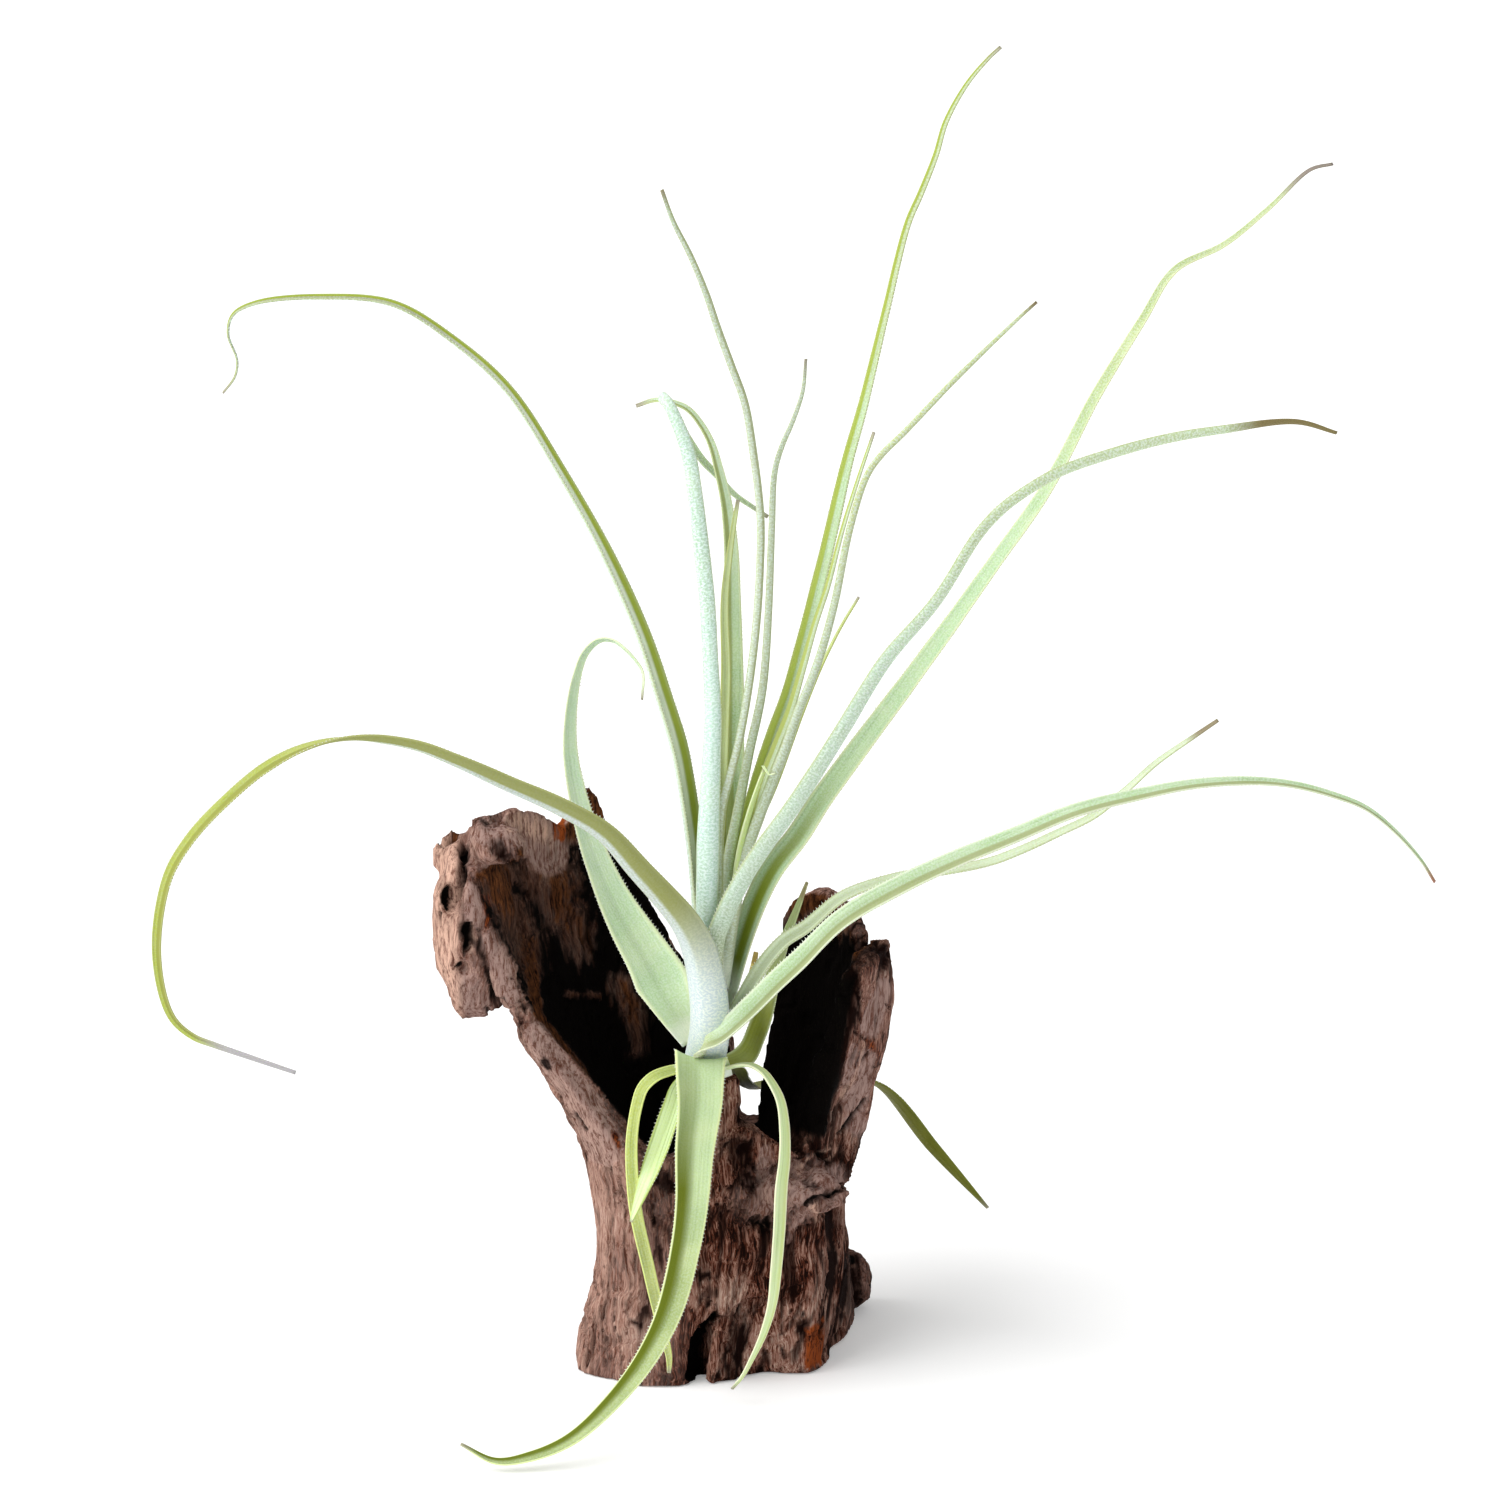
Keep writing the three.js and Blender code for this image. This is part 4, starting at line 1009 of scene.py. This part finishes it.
         (-27.3, 53.3, -48), (-26, 42.7, -49), (-22, 25, -49), (-19.7, 15, -48), (-17.3, 4.3, -46),
         (-15.3, -4, -45), (-15.3, -9.3, -44)),
        (4.5, 4.5, 4, 4.2, 4.4, 4.4, 4.1, 3.3, 1.1), (70, 60, 60),
        (-20, -40, -50), look=Look.HANGING, own={"far": "#a3aa60", "far_strength": 0.7, "far_from": 0.4,
        "upper": "#a9b64a", "under": "#b2bf54", "margin": "#dde78e", "margin_strength": 0.9},
    ),
    Leaf(
        "leaf_front_left_short", (-9, 235),
        ((-11.7, 85.7, -37), (-13.7, 80, -40), (-16, 73.3, -42.5), (-18.7, 65.7, -45.5), (-21.7, 57.7, -49),
         (-24.7, 50, -52), (-28, 41, -54)),
        (6, 7, 8, 8.3, 7, 4.5, 1.1), (60, 50, 50),
        (0,), look=Look.HANGING, own={"upper": "#d2e8a8", "under": "#cde3a4", "heart": "#b4c87a"},
    ),
)


class Wear(Enum):
    """What has happened to a place on the wood."""

    CUT = "worn down by its depth, or left standing where that is below 0, and as grey as the rest"
    # Black for rot and for the painted shade in the hole
    HOLE = "rotted out, and black"
    # Some of these marks are painted shade, at the right of the foot
    DAMP = "dark and damp"
    TORN = "freshly torn"
    RUBBED = "rubbed smooth by water"
    # Some of these are painted light: a highlight on the trunk and the dome's top
    BLEACHED = "bleached by the sun"
    OPEN = "a part of the hollow's wall that the light reaches"


# How far across and up the view a mark goes from where its route starts, at most, in millimetres
MARK_REACH = (35, 50)


@dataclass(frozen=True)
class Mark:
    """A place that has weathered in its own way, laid out on the front view in millimetres.

    Its route is a line of across and rise, with half a width at its start and its end. It marks only
    what faces the viewer.
    """

    wear: Wear
    route: tuple[tuple[float, float], ...]
    width: tuple[float, float]
    depth: float = 0.0  # how far it goes into the wood
    back: float = 8.0  # how far back it reaches
    soft: float = 0.45  # half of how far its ragged edge takes to fade

    def gap(self, across: float, rise: float) -> float:
        """Give how far a place on the view lies outside the mark's edge, below 0 inside it."""
        nearest = math.inf
        for index, (a, b) in enumerate(zip(self.route, self.route[1:])):
            run, climb = b[0] - a[0], b[1] - a[1]
            along = ((across - a[0]) * run + (rise - a[1]) * climb) / (run * run + climb * climb)
            along = min(1.0, max(0.0, along))
            away = math.hypot(across - a[0] - along * run, rise - a[1] - along * climb)
            share = (index + along) / (len(self.route) - 1)
            nearest = min(nearest, away - self.width[0] - (self.width[1] - self.width[0]) * share)
        return nearest

    def is_far(self, across: float, rise: float) -> bool:
        """Tell whether a place on the view is further from the route's start than any mark reaches."""
        first = self.route[0]
        return abs(across - first[0]) > MARK_REACH[0] or abs(rise - first[1]) > MARK_REACH[1]


# Every mark, first on the head at the left, then down the left wall, on the trunk and up the right wall
MARKS = (
    Mark(Wear.CUT, ((-94, 177), (-86, 177)), (8.5, 8.5), 5.5, 60, 2),
    Mark(Wear.CUT, ((-87.5, 173), (-87, 171)), (1.2, 1.2), 2, 60, 1),
    Mark(Wear.CUT, ((-72.7, 183), (-72.7, 174)), (2.6, 1.2), 3.5, 60, 1.2),
    Mark(Wear.CUT, ((-79.6, 175), (-79.4, 172)), (1.8, 2.2), -3, 60, 1.5),
    # Painted light on the dome's top, which faces up
    Mark(Wear.BLEACHED, ((-66, 175), (-57, 170)), (2, 3), 0, 60, 3),
    Mark(Wear.CUT, ((-83, 117), (-75, 114)), (5, 3), 5, 25, 2),
    Mark(Wear.RUBBED, ((-78, 172), (-74, 171), (-64, 172), (-57, 170), (-56, 164)), (5.5, 7.5), 0, 60, 1.2),
    Mark(Wear.DAMP, ((-73.5, 166.5), (-68.5, 162)), (2.4, 2), 1.4, 60, 2),
    Mark(Wear.DAMP, ((-78.6, 176), (-76.5, 173.5)), (1.5, 1)),
    Mark(Wear.RUBBED, ((-82, 151), (-79.5, 142)), (3, 3.4)),
    Mark(Wear.RUBBED, ((-76, 136), (-71, 126), (-68, 116)), (3, 3.6), -2.5, 40, 1.5),
    Mark(Wear.RUBBED, ((-84, 122), (-79, 116), (-73, 111)), (4.5, 3.5)),
    Mark(Wear.HOLE, ((-83.3, 167.5), (-84.3, 159), (-85.3, 152.7), (-86, 148)), (1.6, 0.5), 5, 60),
    Mark(Wear.HOLE, ((-82.8, 138.5), (-82.2, 134.5), (-83.2, 131)), (2.4, 1.2), 4),
    Mark(Wear.HOLE, ((-91.8, 144), (-91.5, 140.5)), (0.6, 0.4), 2),
    Mark(Wear.HOLE, ((-71.6, 114.5), (-70.5, 112.5)), (2, 1.6), 3, 25),
    Mark(Wear.HOLE, ((-76.3, 116.5), (-73.2, 113.2)), (0.45, 0.5), 1.5),
    Mark(Wear.BLEACHED, ((-81, 140), (-80.3, 135), (-82, 130.5)), (0.4, 0.4), -1.2),
    Mark(Wear.DAMP, ((-77.3, 130), (-75.5, 124), (-73.5, 119.5)), (1, 0.6), 0, 8, 1.5),
    Mark(Wear.TORN, ((-75.9, 149), (-75.6, 142.5), (-76.2, 139.5)), (1.2, 0.9)),
    Mark(Wear.OPEN, ((-72, 156), (-68, 146), (-64, 136), (-61.5, 126)), (6.5, 3), 0, 60, 2.5),
    Mark(Wear.OPEN, ((-57, 158), (-53, 149), (-48, 140), (-45, 132)), (8, 3.5), 0, 60, 3.5),
    Mark(Wear.OPEN, ((-61, 124), (-60, 117), (-59, 110), (-53.5, 104), (-49, 98), (-44, 92), (-41, 86)),
         (2.4, 1), 0, 60),
    Mark(Wear.OPEN, ((-48.5, 117), (-46, 116.5)), (1, 0.8), -1, 60),
    Mark(Wear.OPEN, ((-43, 117), (-39, 116.3)), (0.8, 0.9), -1, 60),
    Mark(Wear.OPEN, ((-31, 120), (-27, 110), (-25.5, 98)), (3, 2), 0, 60, 2.5),
    Mark(Wear.HOLE, ((-65.5, 151.5), (-63.5, 149.5)), (2, 1.2), 1, 60, 1.5),
    Mark(Wear.RUBBED, ((-60, 104), (-54, 95), (-43, 80), (-37, 66)), (4, 6.5)),
    Mark(Wear.HOLE, ((-63.6, 113.5), (-62.8, 110.8)), (0.5, 0.45), 1.5),
    Mark(Wear.DAMP, ((-57, 94.5), (-55.5, 92.5)), (1.1, 0.8)),
    Mark(Wear.HOLE, ((-46.3, 77), (-43.3, 71.8)), (0.5, 0.5), 1.2),
    Mark(Wear.TORN, ((-33.5, 70), (-32, 66)), (1.3, 0.5)),
    Mark(Wear.DAMP, ((-19, 56), (-15, 52)), (3, 2), 1),
    Mark(Wear.HOLE, ((12, 41), (18, 40)), (1.2, 2.2), 2.5, 8, 1.6),
    Mark(Wear.DAMP, ((17, 38), (16, 30)), (2, 1.2)),
    Mark(Wear.DAMP, ((8, 66), (9, 60), (11.5, 53)), (4.5, 1.6), 1.5, 8, 2),
    Mark(Wear.RUBBED, ((17, 64), (16.5, 56), (17, 47)), (2.4, 2)),
    Mark(Wear.RUBBED, ((27, 51), (34, 54), (41, 57)), (4, 3.4)),
    Mark(Wear.RUBBED, ((29, 43.3), (25.8, 39.3), (24.5, 34.5)), (1.1, 0.8), -0.8),
    # A painted highlight
    Mark(Wear.BLEACHED, ((33, 46), (34, 42.5)), (0.9, 0.5), -0.6, 8, 0.9),
    Mark(Wear.BLEACHED, ((28, 58.5), (31, 61.5), (35, 64), (38.5, 65.2)), (0.4, 0.4), -0.5, 8, 0.7),
    Mark(Wear.BLEACHED, ((39.8, 67.3), (40.5, 63.8), (37.6, 60.3)), (0.3, 0.2), -0.5, 8, 0.7),
    Mark(Wear.HOLE, ((35, 63.3), (38, 60.5)), (1.5, 0.6), 3),
    Mark(Wear.HOLE, ((25.5, 44), (32.2, 48.2), (38.6, 50.1), (44.3, 53.3)), (0.4, 1.1), 2.8),
    Mark(Wear.DAMP, ((31, 54.5), (33.5, 53.5)), (1, 0.6), 0.5, 8, 1.2),
    Mark(Wear.DAMP, ((45, 57), (50, 67)), (3, 3.4), 1, 14, 2),
    Mark(Wear.DAMP, ((-6, 23), (0, 22)), (1.2, 0.8), 0.6, 8, 2),
    Mark(Wear.DAMP, ((22.3, 18), (22.7, -4)), (0.7, 0.5), 1),
    Mark(Wear.HOLE, ((-0.5, 9.3), (-5, 1.5), (-6.3, -11)), (1.1, 2.9), 3),
    Mark(Wear.DAMP, ((6, 8), (6, -8)), (2, 3.4), 0.5, 8, 2.5),
    Mark(Wear.RUBBED, ((47, 74), (50, 70)), (3.6, 2.6)),
    Mark(Wear.RUBBED, ((50.5, 96), (48.5, 88), (46.5, 81)), (3, 4)),
    Mark(Wear.RUBBED, ((46, 99), (43.5, 88)), (1.6, 1.8)),
    Mark(Wear.RUBBED, ((56.3, 120), (54, 113.3), (51.5, 106)), (2.6, 3.8)),
    Mark(Wear.BLEACHED, ((49.2, 101.3), (48, 95.4), (46.3, 89.4), (42.4, 82.3)), (0.2, 0.2), -0.5, 8, 0.7),
    Mark(Wear.TORN, ((51.5, 101), (53, 98.5), (54, 97)), (0.8, 0.8), 0, 8, 1.2),
    Mark(Wear.HOLE, ((50, 82), (46.7, 77.5), (42.9, 71.7), (40.5, 69.9)), (0.35, 0.35), 1.2),
    Mark(Wear.HOLE, ((50.8, 97.5), (48.8, 95)), (0.5, 0.25), 1),
    Mark(Wear.DAMP, ((46.5, 104.5), (50, 101.8)), (0.4, 0.4), 1),
    Mark(Wear.DAMP, ((46, 111), (43.5, 100), (41, 90)), (1, 0.8)),
    Mark(Wear.DAMP, ((46, 132), (56, 131), (59, 122)), (5, 1.4), 0.5, 30, 2),
    Mark(Wear.DAMP, ((46, 128), (43.5, 116)), (3.5, 1), 0.5, 30, 2),
    # Painted shade on the bump and the spur at the right, which face away from the light
    Mark(Wear.DAMP, ((44, 27), (47, 14)), (4, 5), 0, 60, 3.5),
    Mark(Wear.DAMP, ((57, 13), (60, 4)), (4, 5), 0, 60, 3),
)


@dataclass(frozen=True)
class Grain:
    """How the wood has grown, and split along its grain, at one point of the stump.

    The shares go from 0 to 1 and the ridges and lumps from -1 to 1.
    """

    head: float  # share of the left head's burl
    lip: float  # share of the burl at the front lip
    right: float  # share of the right wall
    calm: float  # share of the side and the back, where the wood has split least
    flutes: float  # broad ridges, then narrower ones
    strands: float
    splinters: float
    lumps: float
    crack: float
    pit: float
    shelf: float  # how high the layers of fibre stand that haven't broken off
    shadow: float  # share of the line at their broken edge
    mould: float  # share of the dark stains on the hollow's wall


@dataclass
class Driftwood:
    """The hollow stump.

    Its form comes from the CAD solid, and its grain, cracks, marks and rot are worked in here, with painted
    light and shade.
    """

    voxel: float = 1.06 * MM
    seed: int = 4  # of the vector noise, which is seeded by the clock otherwise
    # Fresh breaks, as the middle and half the size of the box that each is in, in millimetres
    breaks: tuple[tuple[Vector, Vector], ...] = (
        (Vector((35, -29, 10)), Vector((4.5, 12, 8.5))),
        (Vector((-52.5, 25, 180)), Vector((2, 9, 4))),
    )
    # Splinters that stand in the slot of the foot, as foot, top and half the width, in millimetres
    splinters: tuple[tuple[Vector, Vector, float], ...] = (
        (Vector((-1.2, -31, 0)), Vector((1.8, -31.5, 19)), 2.4),
        (Vector((2.6, -29, 0)), Vector((4.6, -30, 20)), 2.6),
        (Vector((6, -28.5, 0)), Vector((7, -30, 18)), 2.4),
    )

    def build(self) -> bpy.types.Object:
        """Remesh the solid finely, weather its surface and store how it has weathered as attributes.

        Returns:
            The stump.
        """
        noise.seed_set(self.seed)
        bm = self.remeshed()
        for _ in range(3):
            bmesh.ops.smooth_vert(bm, verts=bm.verts, factor=0.5,
                                  use_axis_x=True, use_axis_y=True, use_axis_z=True)
        bm.normal_update()
        layers = vertex_layers(bm, SHADES)
        moves = [self.weather(vert.co / MM, vert.normal) for vert in bm.verts]
        for vert, (move, drop, *shades) in zip(bm.verts, moves):
            foot = smoothstep(0.2, 3.0, vert.co.z / MM)
            vert.co += (vert.normal * move - Vector((0, 0, drop))) * foot * MM
            vert.co.z = max(vert.co.z, 0.0)
            store(vert, layers, shades)
        return new_object("driftwood_weathered", bm, WoodFinish().build())

    def remeshed(self) -> bmesh.types.BMesh:
        """Join the splinters to the CAD solid and make an even, fine mesh of both.

        Returns:
            The mesh.
        """
        bm = bmesh.new()
        bm.from_mesh(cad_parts["driftwood"].data)
        bmesh.ops.remove_doubles(bm, verts=bm.verts, dist=1e-6)
        for foot, top, half in self.splinters:
            place = Matrix.Translation((foot + top) / 2 * MM) @ upright_on(top - foot)
            bmesh.ops.create_cone(bm, cap_ends=True, segments=7, radius1=half * MM, radius2=half * 0.7 * MM,
                                  depth=(top - foot).length * MM, matrix=place)
        coarse = new_object("driftwood_coarse", bm)
        remesh = coarse.modifiers.new("remesh", "REMESH")
        remesh.mode = "VOXEL"
        remesh.voxel_size = self.voxel * 1
        evaluated = coarse.evaluated_get(bpy.context.evaluated_depsgraph_get())
        bm = bmesh.new()
        bm.from_mesh(evaluated.to_mesh())
        evaluated.to_mesh_clear()
        bpy.data.objects.remove(coarse)
        return bm

    def weather(self, spot: Vector, normal: Vector) -> tuple[float, ...]:
        """Work out how one point of the surface has weathered.

        Args:
            spot: The point, in millimetres.
            normal: The surface's normal there.

        Returns:
            How far it moves along its normal and how far down, in millimetres, and how much there is
            of each of the shades.
        """
        grain = self.grain(spot)
        move, groove_and_shade = self.relief(spot, grain)
        ragged = 1.1 * grain.splinters + 1.1 * grain.strands + 0.6 * grain.lumps
        share = self.marked(spot, ragged, smoothstep(0.45, 0.2, normal.y))
        wear = {kind: max((near for near, _ in share.get(kind, ())), default=0.0) for kind in Wear}
        rubbed, bleach_and_light = wear[Wear.RUBBED], wear[Wear.BLEACHED]
        hollow = self.hollow(spot, normal, grain) * (1 - rubbed)
        # Light reaches the spike and the back wall's top, and the places that are marked
        back_top = smoothstep(20, 26, spot.x) * smoothstep(143, 149, spot.z + 9 * grain.strands)
        lit = max(smoothstep(172, 176, spot.z), back_top, wear[Wear.OPEN] * (1 - 0.4 * grain.mould))
        # The hollow's wall away from the light, the right wall's inner side and the holes are painted near
        # black: painted shade, and rot
        rot_and_shade = max(hollow * (1 - lit), self.inner_side_shade(spot, grain), wear[Wear.HOLE])
        torn = max(wear[Wear.TORN], self.broken(spot, grain))
        worn = max(0.5 * grain.head, 0.7 * grain.lip, 0.2 * grain.right, 0.35 * grain.calm, 0.95 * rubbed)
        # Painted light: the plate at the head's far left and, somewhat, all that faces left are painted pale,
        # with the sun-paled ridges
        plate = 0.95 * grain.head * smoothstep(-83, -87, spot.x)
        sunned_and_lit = max(plate, 0.3 * smoothstep(0.3, 0.8, -normal.x), bleach_and_light)
        move *= 1 - 0.55 * max(rubbed, wear[Wear.OPEN])
        drop = sum(depth * near for near, depth in share.pop(Wear.CUT, ()))
        move -= sum(depth * near for marks in share.values() for near, depth in marks)
        # Painted shade: the side away from the light, low down, is painted dark, as are the marked dark spots
        damp_and_shade = max(wear[Wear.DAMP], 0.35 * smoothstep(0.5, 0.95, normal.x) * smoothstep(86, 66, spot.z))
        groove_and_shade = min(1.0, groove_and_shade * (1 - 0.7 * max(rubbed, bleach_and_light)) + 0.85 * damp_and_shade)
        inner = hollow * lit * (1 - torn)
        return move, drop, groove_and_shade, rot_and_shade, torn * (1 - 0.5 * grain.crack), worn, sunned_and_lit, inner

    def grain(self, spot: Vector) -> Grain:
        """Work out how the wood has grown and split at a point.

        Args:
            spot: The point, in millimetres.

        Returns:
            Its grain.
        """
        warp = noise.noise_vector(spot * 0.028) * 7 + noise.noise_vector(spot * 0.09) * 1.6
        head = smoothstep(-60, -68, spot.x) * smoothstep(112, 128, spot.z)
        lip = 1 - smoothstep(0.8, 1.4, self.reach_to(spot, (27, -32, 69), (19, 14, 11)))
        # The grain runs up the trunk, and every way in the burls
        climb = 0.08 + 0.3 * max(0.4 * head, lip)
        fibre = Vector((spot.x + warp.x, spot.y + warp.y, spot.z * climb + warp.z * climb))
        strands = noise.noise(fibre * 0.42 + Vector((17, 3, 5)))
        crack = 1 - smoothstep(0.015, 0.075, abs(noise.noise(fibre * 0.17 + Vector((31, 8, 2)))))
        # Layers of fibre that have broken off leave steps with ragged edges
        layer = noise.noise(fibre * 0.06 + Vector((3, 41, 7))) * 3.2 + 0.3 * strands
        step = layer - math.floor(layer)
        stain = noise.noise(spot * 0.05 + warp * 0.03 + Vector((1, 5, 2))) + 0.5 * strands
        return Grain(
            head=head, lip=lip, strands=strands,
            right=smoothstep(30, 42, spot.x) * smoothstep(78, 90, spot.z),
            calm=max(smoothstep(-4, -20, spot.x), smoothstep(0, 12, spot.y)) * (1 - head),
            flutes=noise.noise(fibre * 0.13),
            splinters=noise.noise(fibre * 1.1),
            lumps=noise.noise(spot * 0.075 + warp * 0.05),
            crack=crack * smoothstep(-0.1, 0.25, noise.noise(spot * 0.045 + Vector((4, 4, 4)))),
            pit=smoothstep(0.34, 0.5, noise.noise(spot * 0.11 + Vector((9, 1, 7)))) * 0.35,
            shelf=max(-1.6, min(0.8, smoothstep(0.0, 0.12, step) + math.floor(layer))),
            shadow=smoothstep(0.3, 0.04, abs(step - 0.04) * 2.2),
            mould=smoothstep(0.12, -0.12, stain))

    def relief(self, spot: Vector, grain: Grain) -> tuple[float, float]:
        """Work out how far a point stands out, and how dark it is painted, for the wood's colour and for
        shade.

        Args:
            spot: The point, in millimetres.
            grain: Its grain.

        Returns:
            The height in millimetres, and the share of painted dark, for colour and shade.
        """
        head, lip, right, calm = grain.head, grain.lip, grain.right, grain.calm
        # The burl at the lip has split into shards, each turned its own way
        shard = noise.voronoi(Vector((spot.x, spot.y, 1.6 * spot.z - 0.8 * spot.x)) / 9)[1][0]
        chip = (spot / 9 - shard).dot(noise.noise_vector(shard * 7.1)) if lip else 0.0
        move = 0.9 * grain.flutes + 0.55 * grain.strands + 0.3 * grain.splinters - 1.2 * grain.crack
        move += (0.7 + 0.5 * right - 0.35 * calm) * (grain.shelf - 0.5)
        move += max(head, right) * 0.9 * grain.lumps - 2.8 * grain.pit
        move = move * (1 - 0.5 * max(lip, head)) + lip * (2.2 * chip - 0.6)
        # Cracks, pits and low places are painted dark, and so are the shadow lines at the layers' broken
        # edges: the wood's darker colour there, and painted shade
        dip = smoothstep(0.0, -0.45, grain.flutes + 0.8 * grain.strands)
        groove_and_shade = (0.95 * grain.crack + 0.9 * grain.pit + 0.85 * dip) * (1 - 0.45 * calm)
        groove_and_shade = (groove_and_shade + grain.shadow * (0.5 + 0.4 * right)) * (1 - 0.6 * max(lip, head))
        return move, groove_and_shade

    def hollow(self, spot: Vector, normal: Vector, grain: Grain) -> float:
        """Give how much a point is on the hollow's wall or floor.

        Args:
            spot: The point, in millimetres.
            normal: The surface's normal there.
            grain: Its grain.

        Returns:
            The share.
        """
        flat = Vector((spot.x, spot.y, 0))
        inward = -normal.dot(flat.normalized()) if flat.length > 1 else 0.0
        wall = smoothstep(0.16, 0.32, inward + 0.15 * grain.strands)
        if flat.length < 30 and spot.z > 40:
            return max(wall, smoothstep(0.2, 0.5, normal.z) * smoothstep(72, 62, spot.z))
        return wall

    def inner_side_shade(self, spot: Vector, grain: Grain) -> float:
        """Give how much a point is on the right wall's broken inner side, which is painted dark for its
        shade.

        It is painted dark as far as a line that leans out.

        Args:
            spot: The point, in millimetres.
            grain: Its grain.

        Returns:
            The share.
        """
        brink = 38.5 + 0.15 * (spot.z - 84) + 1.6 * grain.strands
        across = smoothstep(0.6, -0.6, spot.x - brink) * smoothstep(20, 28, spot.x)
        rise = smoothstep(84, 88, spot.z) * smoothstep(148, 142, spot.z)
        return across * smoothstep(16, 8, spot.y) * rise

    def broken(self, spot: Vector, grain: Grain) -> float:
        """Give how much a point is in one of the fresh breaks.

        Args:
            spot: The point, in millimetres.
            grain: Its grain.

        Returns:
            The share.
        """
        depths = (1 - max(abs(a / b) for a, b in zip(spot - middle, size)) for middle, size in self.breaks)
        return smoothstep(0.0, 0.12, max(depths) + 0.3 * grain.strands + 0.2 * grain.splinters)

    def marked(self, spot: Vector, ragged: float, facing: float) -> dict[Wear, list[tuple[float, float]]]:
        """Find the marks that a point lies in.

        Args:
            spot: The point, in millimetres.
            ragged: How far the marks' edges are shifted there, as a share of how soft they are.
            facing: How much the surface faces the viewer there.

        Returns:
            For each kind of wear, how much the point is in each such mark and how deep that is.
        """
        found: dict[Wear, list[tuple[float, float]]] = {}
        if not facing:
            return found
        across, rise = VIEW.seen(spot)
        for mark in MARKS:
            if spot.y > mark.back or mark.is_far(across, rise):
                continue
            near = smoothstep(mark.soft, -mark.soft, mark.gap(across, rise) + ragged * mark.soft) * facing
            if near:
                found.setdefault(mark.wear, []).append((near, mark.depth))
        return found

    def reach_to(self, spot: Vector, middle: tuple[float, float, float],
                 reach: tuple[float, float, float]) -> float:
        """Give a point's distance from the middle of an ellipsoid, as a share of its reach that way."""
        return Vector([(s - m) / r for s, m, r in zip(spot, middle, reach)]).length


@dataclass
class TornCurls:
    """The dry curls of leaf skin, a few millimetres long, that stand off the young leaf in the heart."""

    spots: tuple[tuple[tuple[float, float, float], ...], ...] = (
        ((1.5, 173, -31), (3.5, 171.5, -33), (5, 174, -33.5), (4, 176, -33)),
        ((13, 196, -31), (15.5, 198, -32), (17.5, 196.5, -33), (17, 193.5, -33)),
        ((16, 193, -31), (18, 190, -32.5), (20, 190.5, -33)),
    )
    width: float = 0.55  # half of it, at the end that has stayed on the leaf
    cuts: int = 17  # along each curl

    def build(self) -> bpy.types.Object:
        """Model each curl as a narrow strip, rolled along its route.

        Returns:
            The curls as one piece.
        """
        bm = bmesh.new()
        layers = vertex_layers(bm, PLACE)
        bm.loops.layers.uv.new("blade")
        for spots in self.spots:
            points = [VIEW.point(spot) for spot in spots]
            earlier = set(bm.verts)
            made = bmesh.ops.create_cone(bm, cap_ends=True, segments=8, radius1=1, radius2=1,
                                         depth=1)["verts"]
            upright = [edge for edge in {e for v in made for e in v.link_edges}
                       if abs(edge.verts[0].co.z - edge.verts[1].co.z) > 0.5]
            bmesh.ops.subdivide_edges(bm, edges=upright, cuts=self.cuts, use_grid_fill=True)
            for vert in [vert for vert in bm.verts if vert not in earlier]:
                share = vert.co.z + 0.5
                place = share * (len(points) - 1)
                index = min(int(place), len(points) - 2)
                centre = points[index].lerp(points[index + 1], place - index)
                width = self.width * (1 - 0.7 * share)
                store(vert, layers, (vert.co.x, 0.3, 1.0))
                vert.co = (centre + Vector((vert.co.x * width, vert.co.y * 0.22, vert.co.y * 0.1))) * MM
        bmesh.ops.recalc_face_normals(bm, faces=bm.faces)
        return new_object("torn_curls", bm, replace(Look.YOUNG.value, name="torn_curl_skin").build())


@dataclass
class Studio:
    """A pale floor that fills the view, a wide, soft light at the upper left and a bright room around."""

    floor_reach: float = 12.0  # metres
    floor_drop: float = 0.3 * MM  # so that it doesn't share its height with the stump's foot
    sun: float = 2.95  # the wide light's strength, in watts per square metre
    sun_angle: float = math.radians(56)  # how wide the light is
    sun_course: tuple[float, float, float] = (0.95, 0.42, -1.0)
    room: float = 0.57
    glow: float = 0.19  # the floor is thin and white, and is lit a little from below

    def build(self) -> None:
        """Make the floor, the light, the room's own light and the camera."""
        bm = bmesh.new()
        bmesh.ops.create_grid(bm, x_segments=1, y_segments=1, size=self.floor_reach)
        bmesh.ops.translate(bm, vec=(0, 0, -self.floor_drop), verts=bm.verts)
        paint, tree = blank("studio_floor_matt_white")
        matt = add(tree, "BsdfPrincipled", {"Base Color": linear("#f4f4f4"), "Roughness": 0.9,
                                            "Specular IOR Level": 0.1, "Emission Color": linear("#ffffff"),
                                            "Emission Strength": self.glow})
        add(tree, "OutputMaterial", {"Surface": matt.outputs[0]})
        new_object("studio_floor", bm, paint)
        sun = bpy.data.lights.new("window", "SUN")
        sun.energy = self.sun
        sun.angle = self.sun_angle
        window = bpy.data.objects.new("window", sun)
        window.rotation_euler = Vector(self.sun_course).to_track_quat("-Z", "Y").to_euler()
        bpy.context.scene.collection.objects.link(window)
        world = bpy.data.worlds.new("studio")
        world.use_nodes = True
        background = world.node_tree.nodes["Background"]
        background.inputs["Color"].default_value = (1, 1, 1, 1)
        background.inputs["Strength"].default_value = self.room
        scene = bpy.context.scene
        scene.world = world
        scene.view_settings.view_transform = "Standard"
        VIEW.camera()


def main() -> None:
    """Build the studio, the stump and the plant, and log how many faces each replaced piece has."""
    logging.basicConfig(level=logging.INFO, format="%(message)s")
    Studio().build()
    stand_for(Driftwood().build(), "driftwood")
    stand_for(STEM.build(), "stem")
    for leaf in LEAVES:
        stand_for(leaf.build(), leaf.node)
    curls = TornCurls().build()
    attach(curls, "root")


if __name__ == "__main__":
    main()
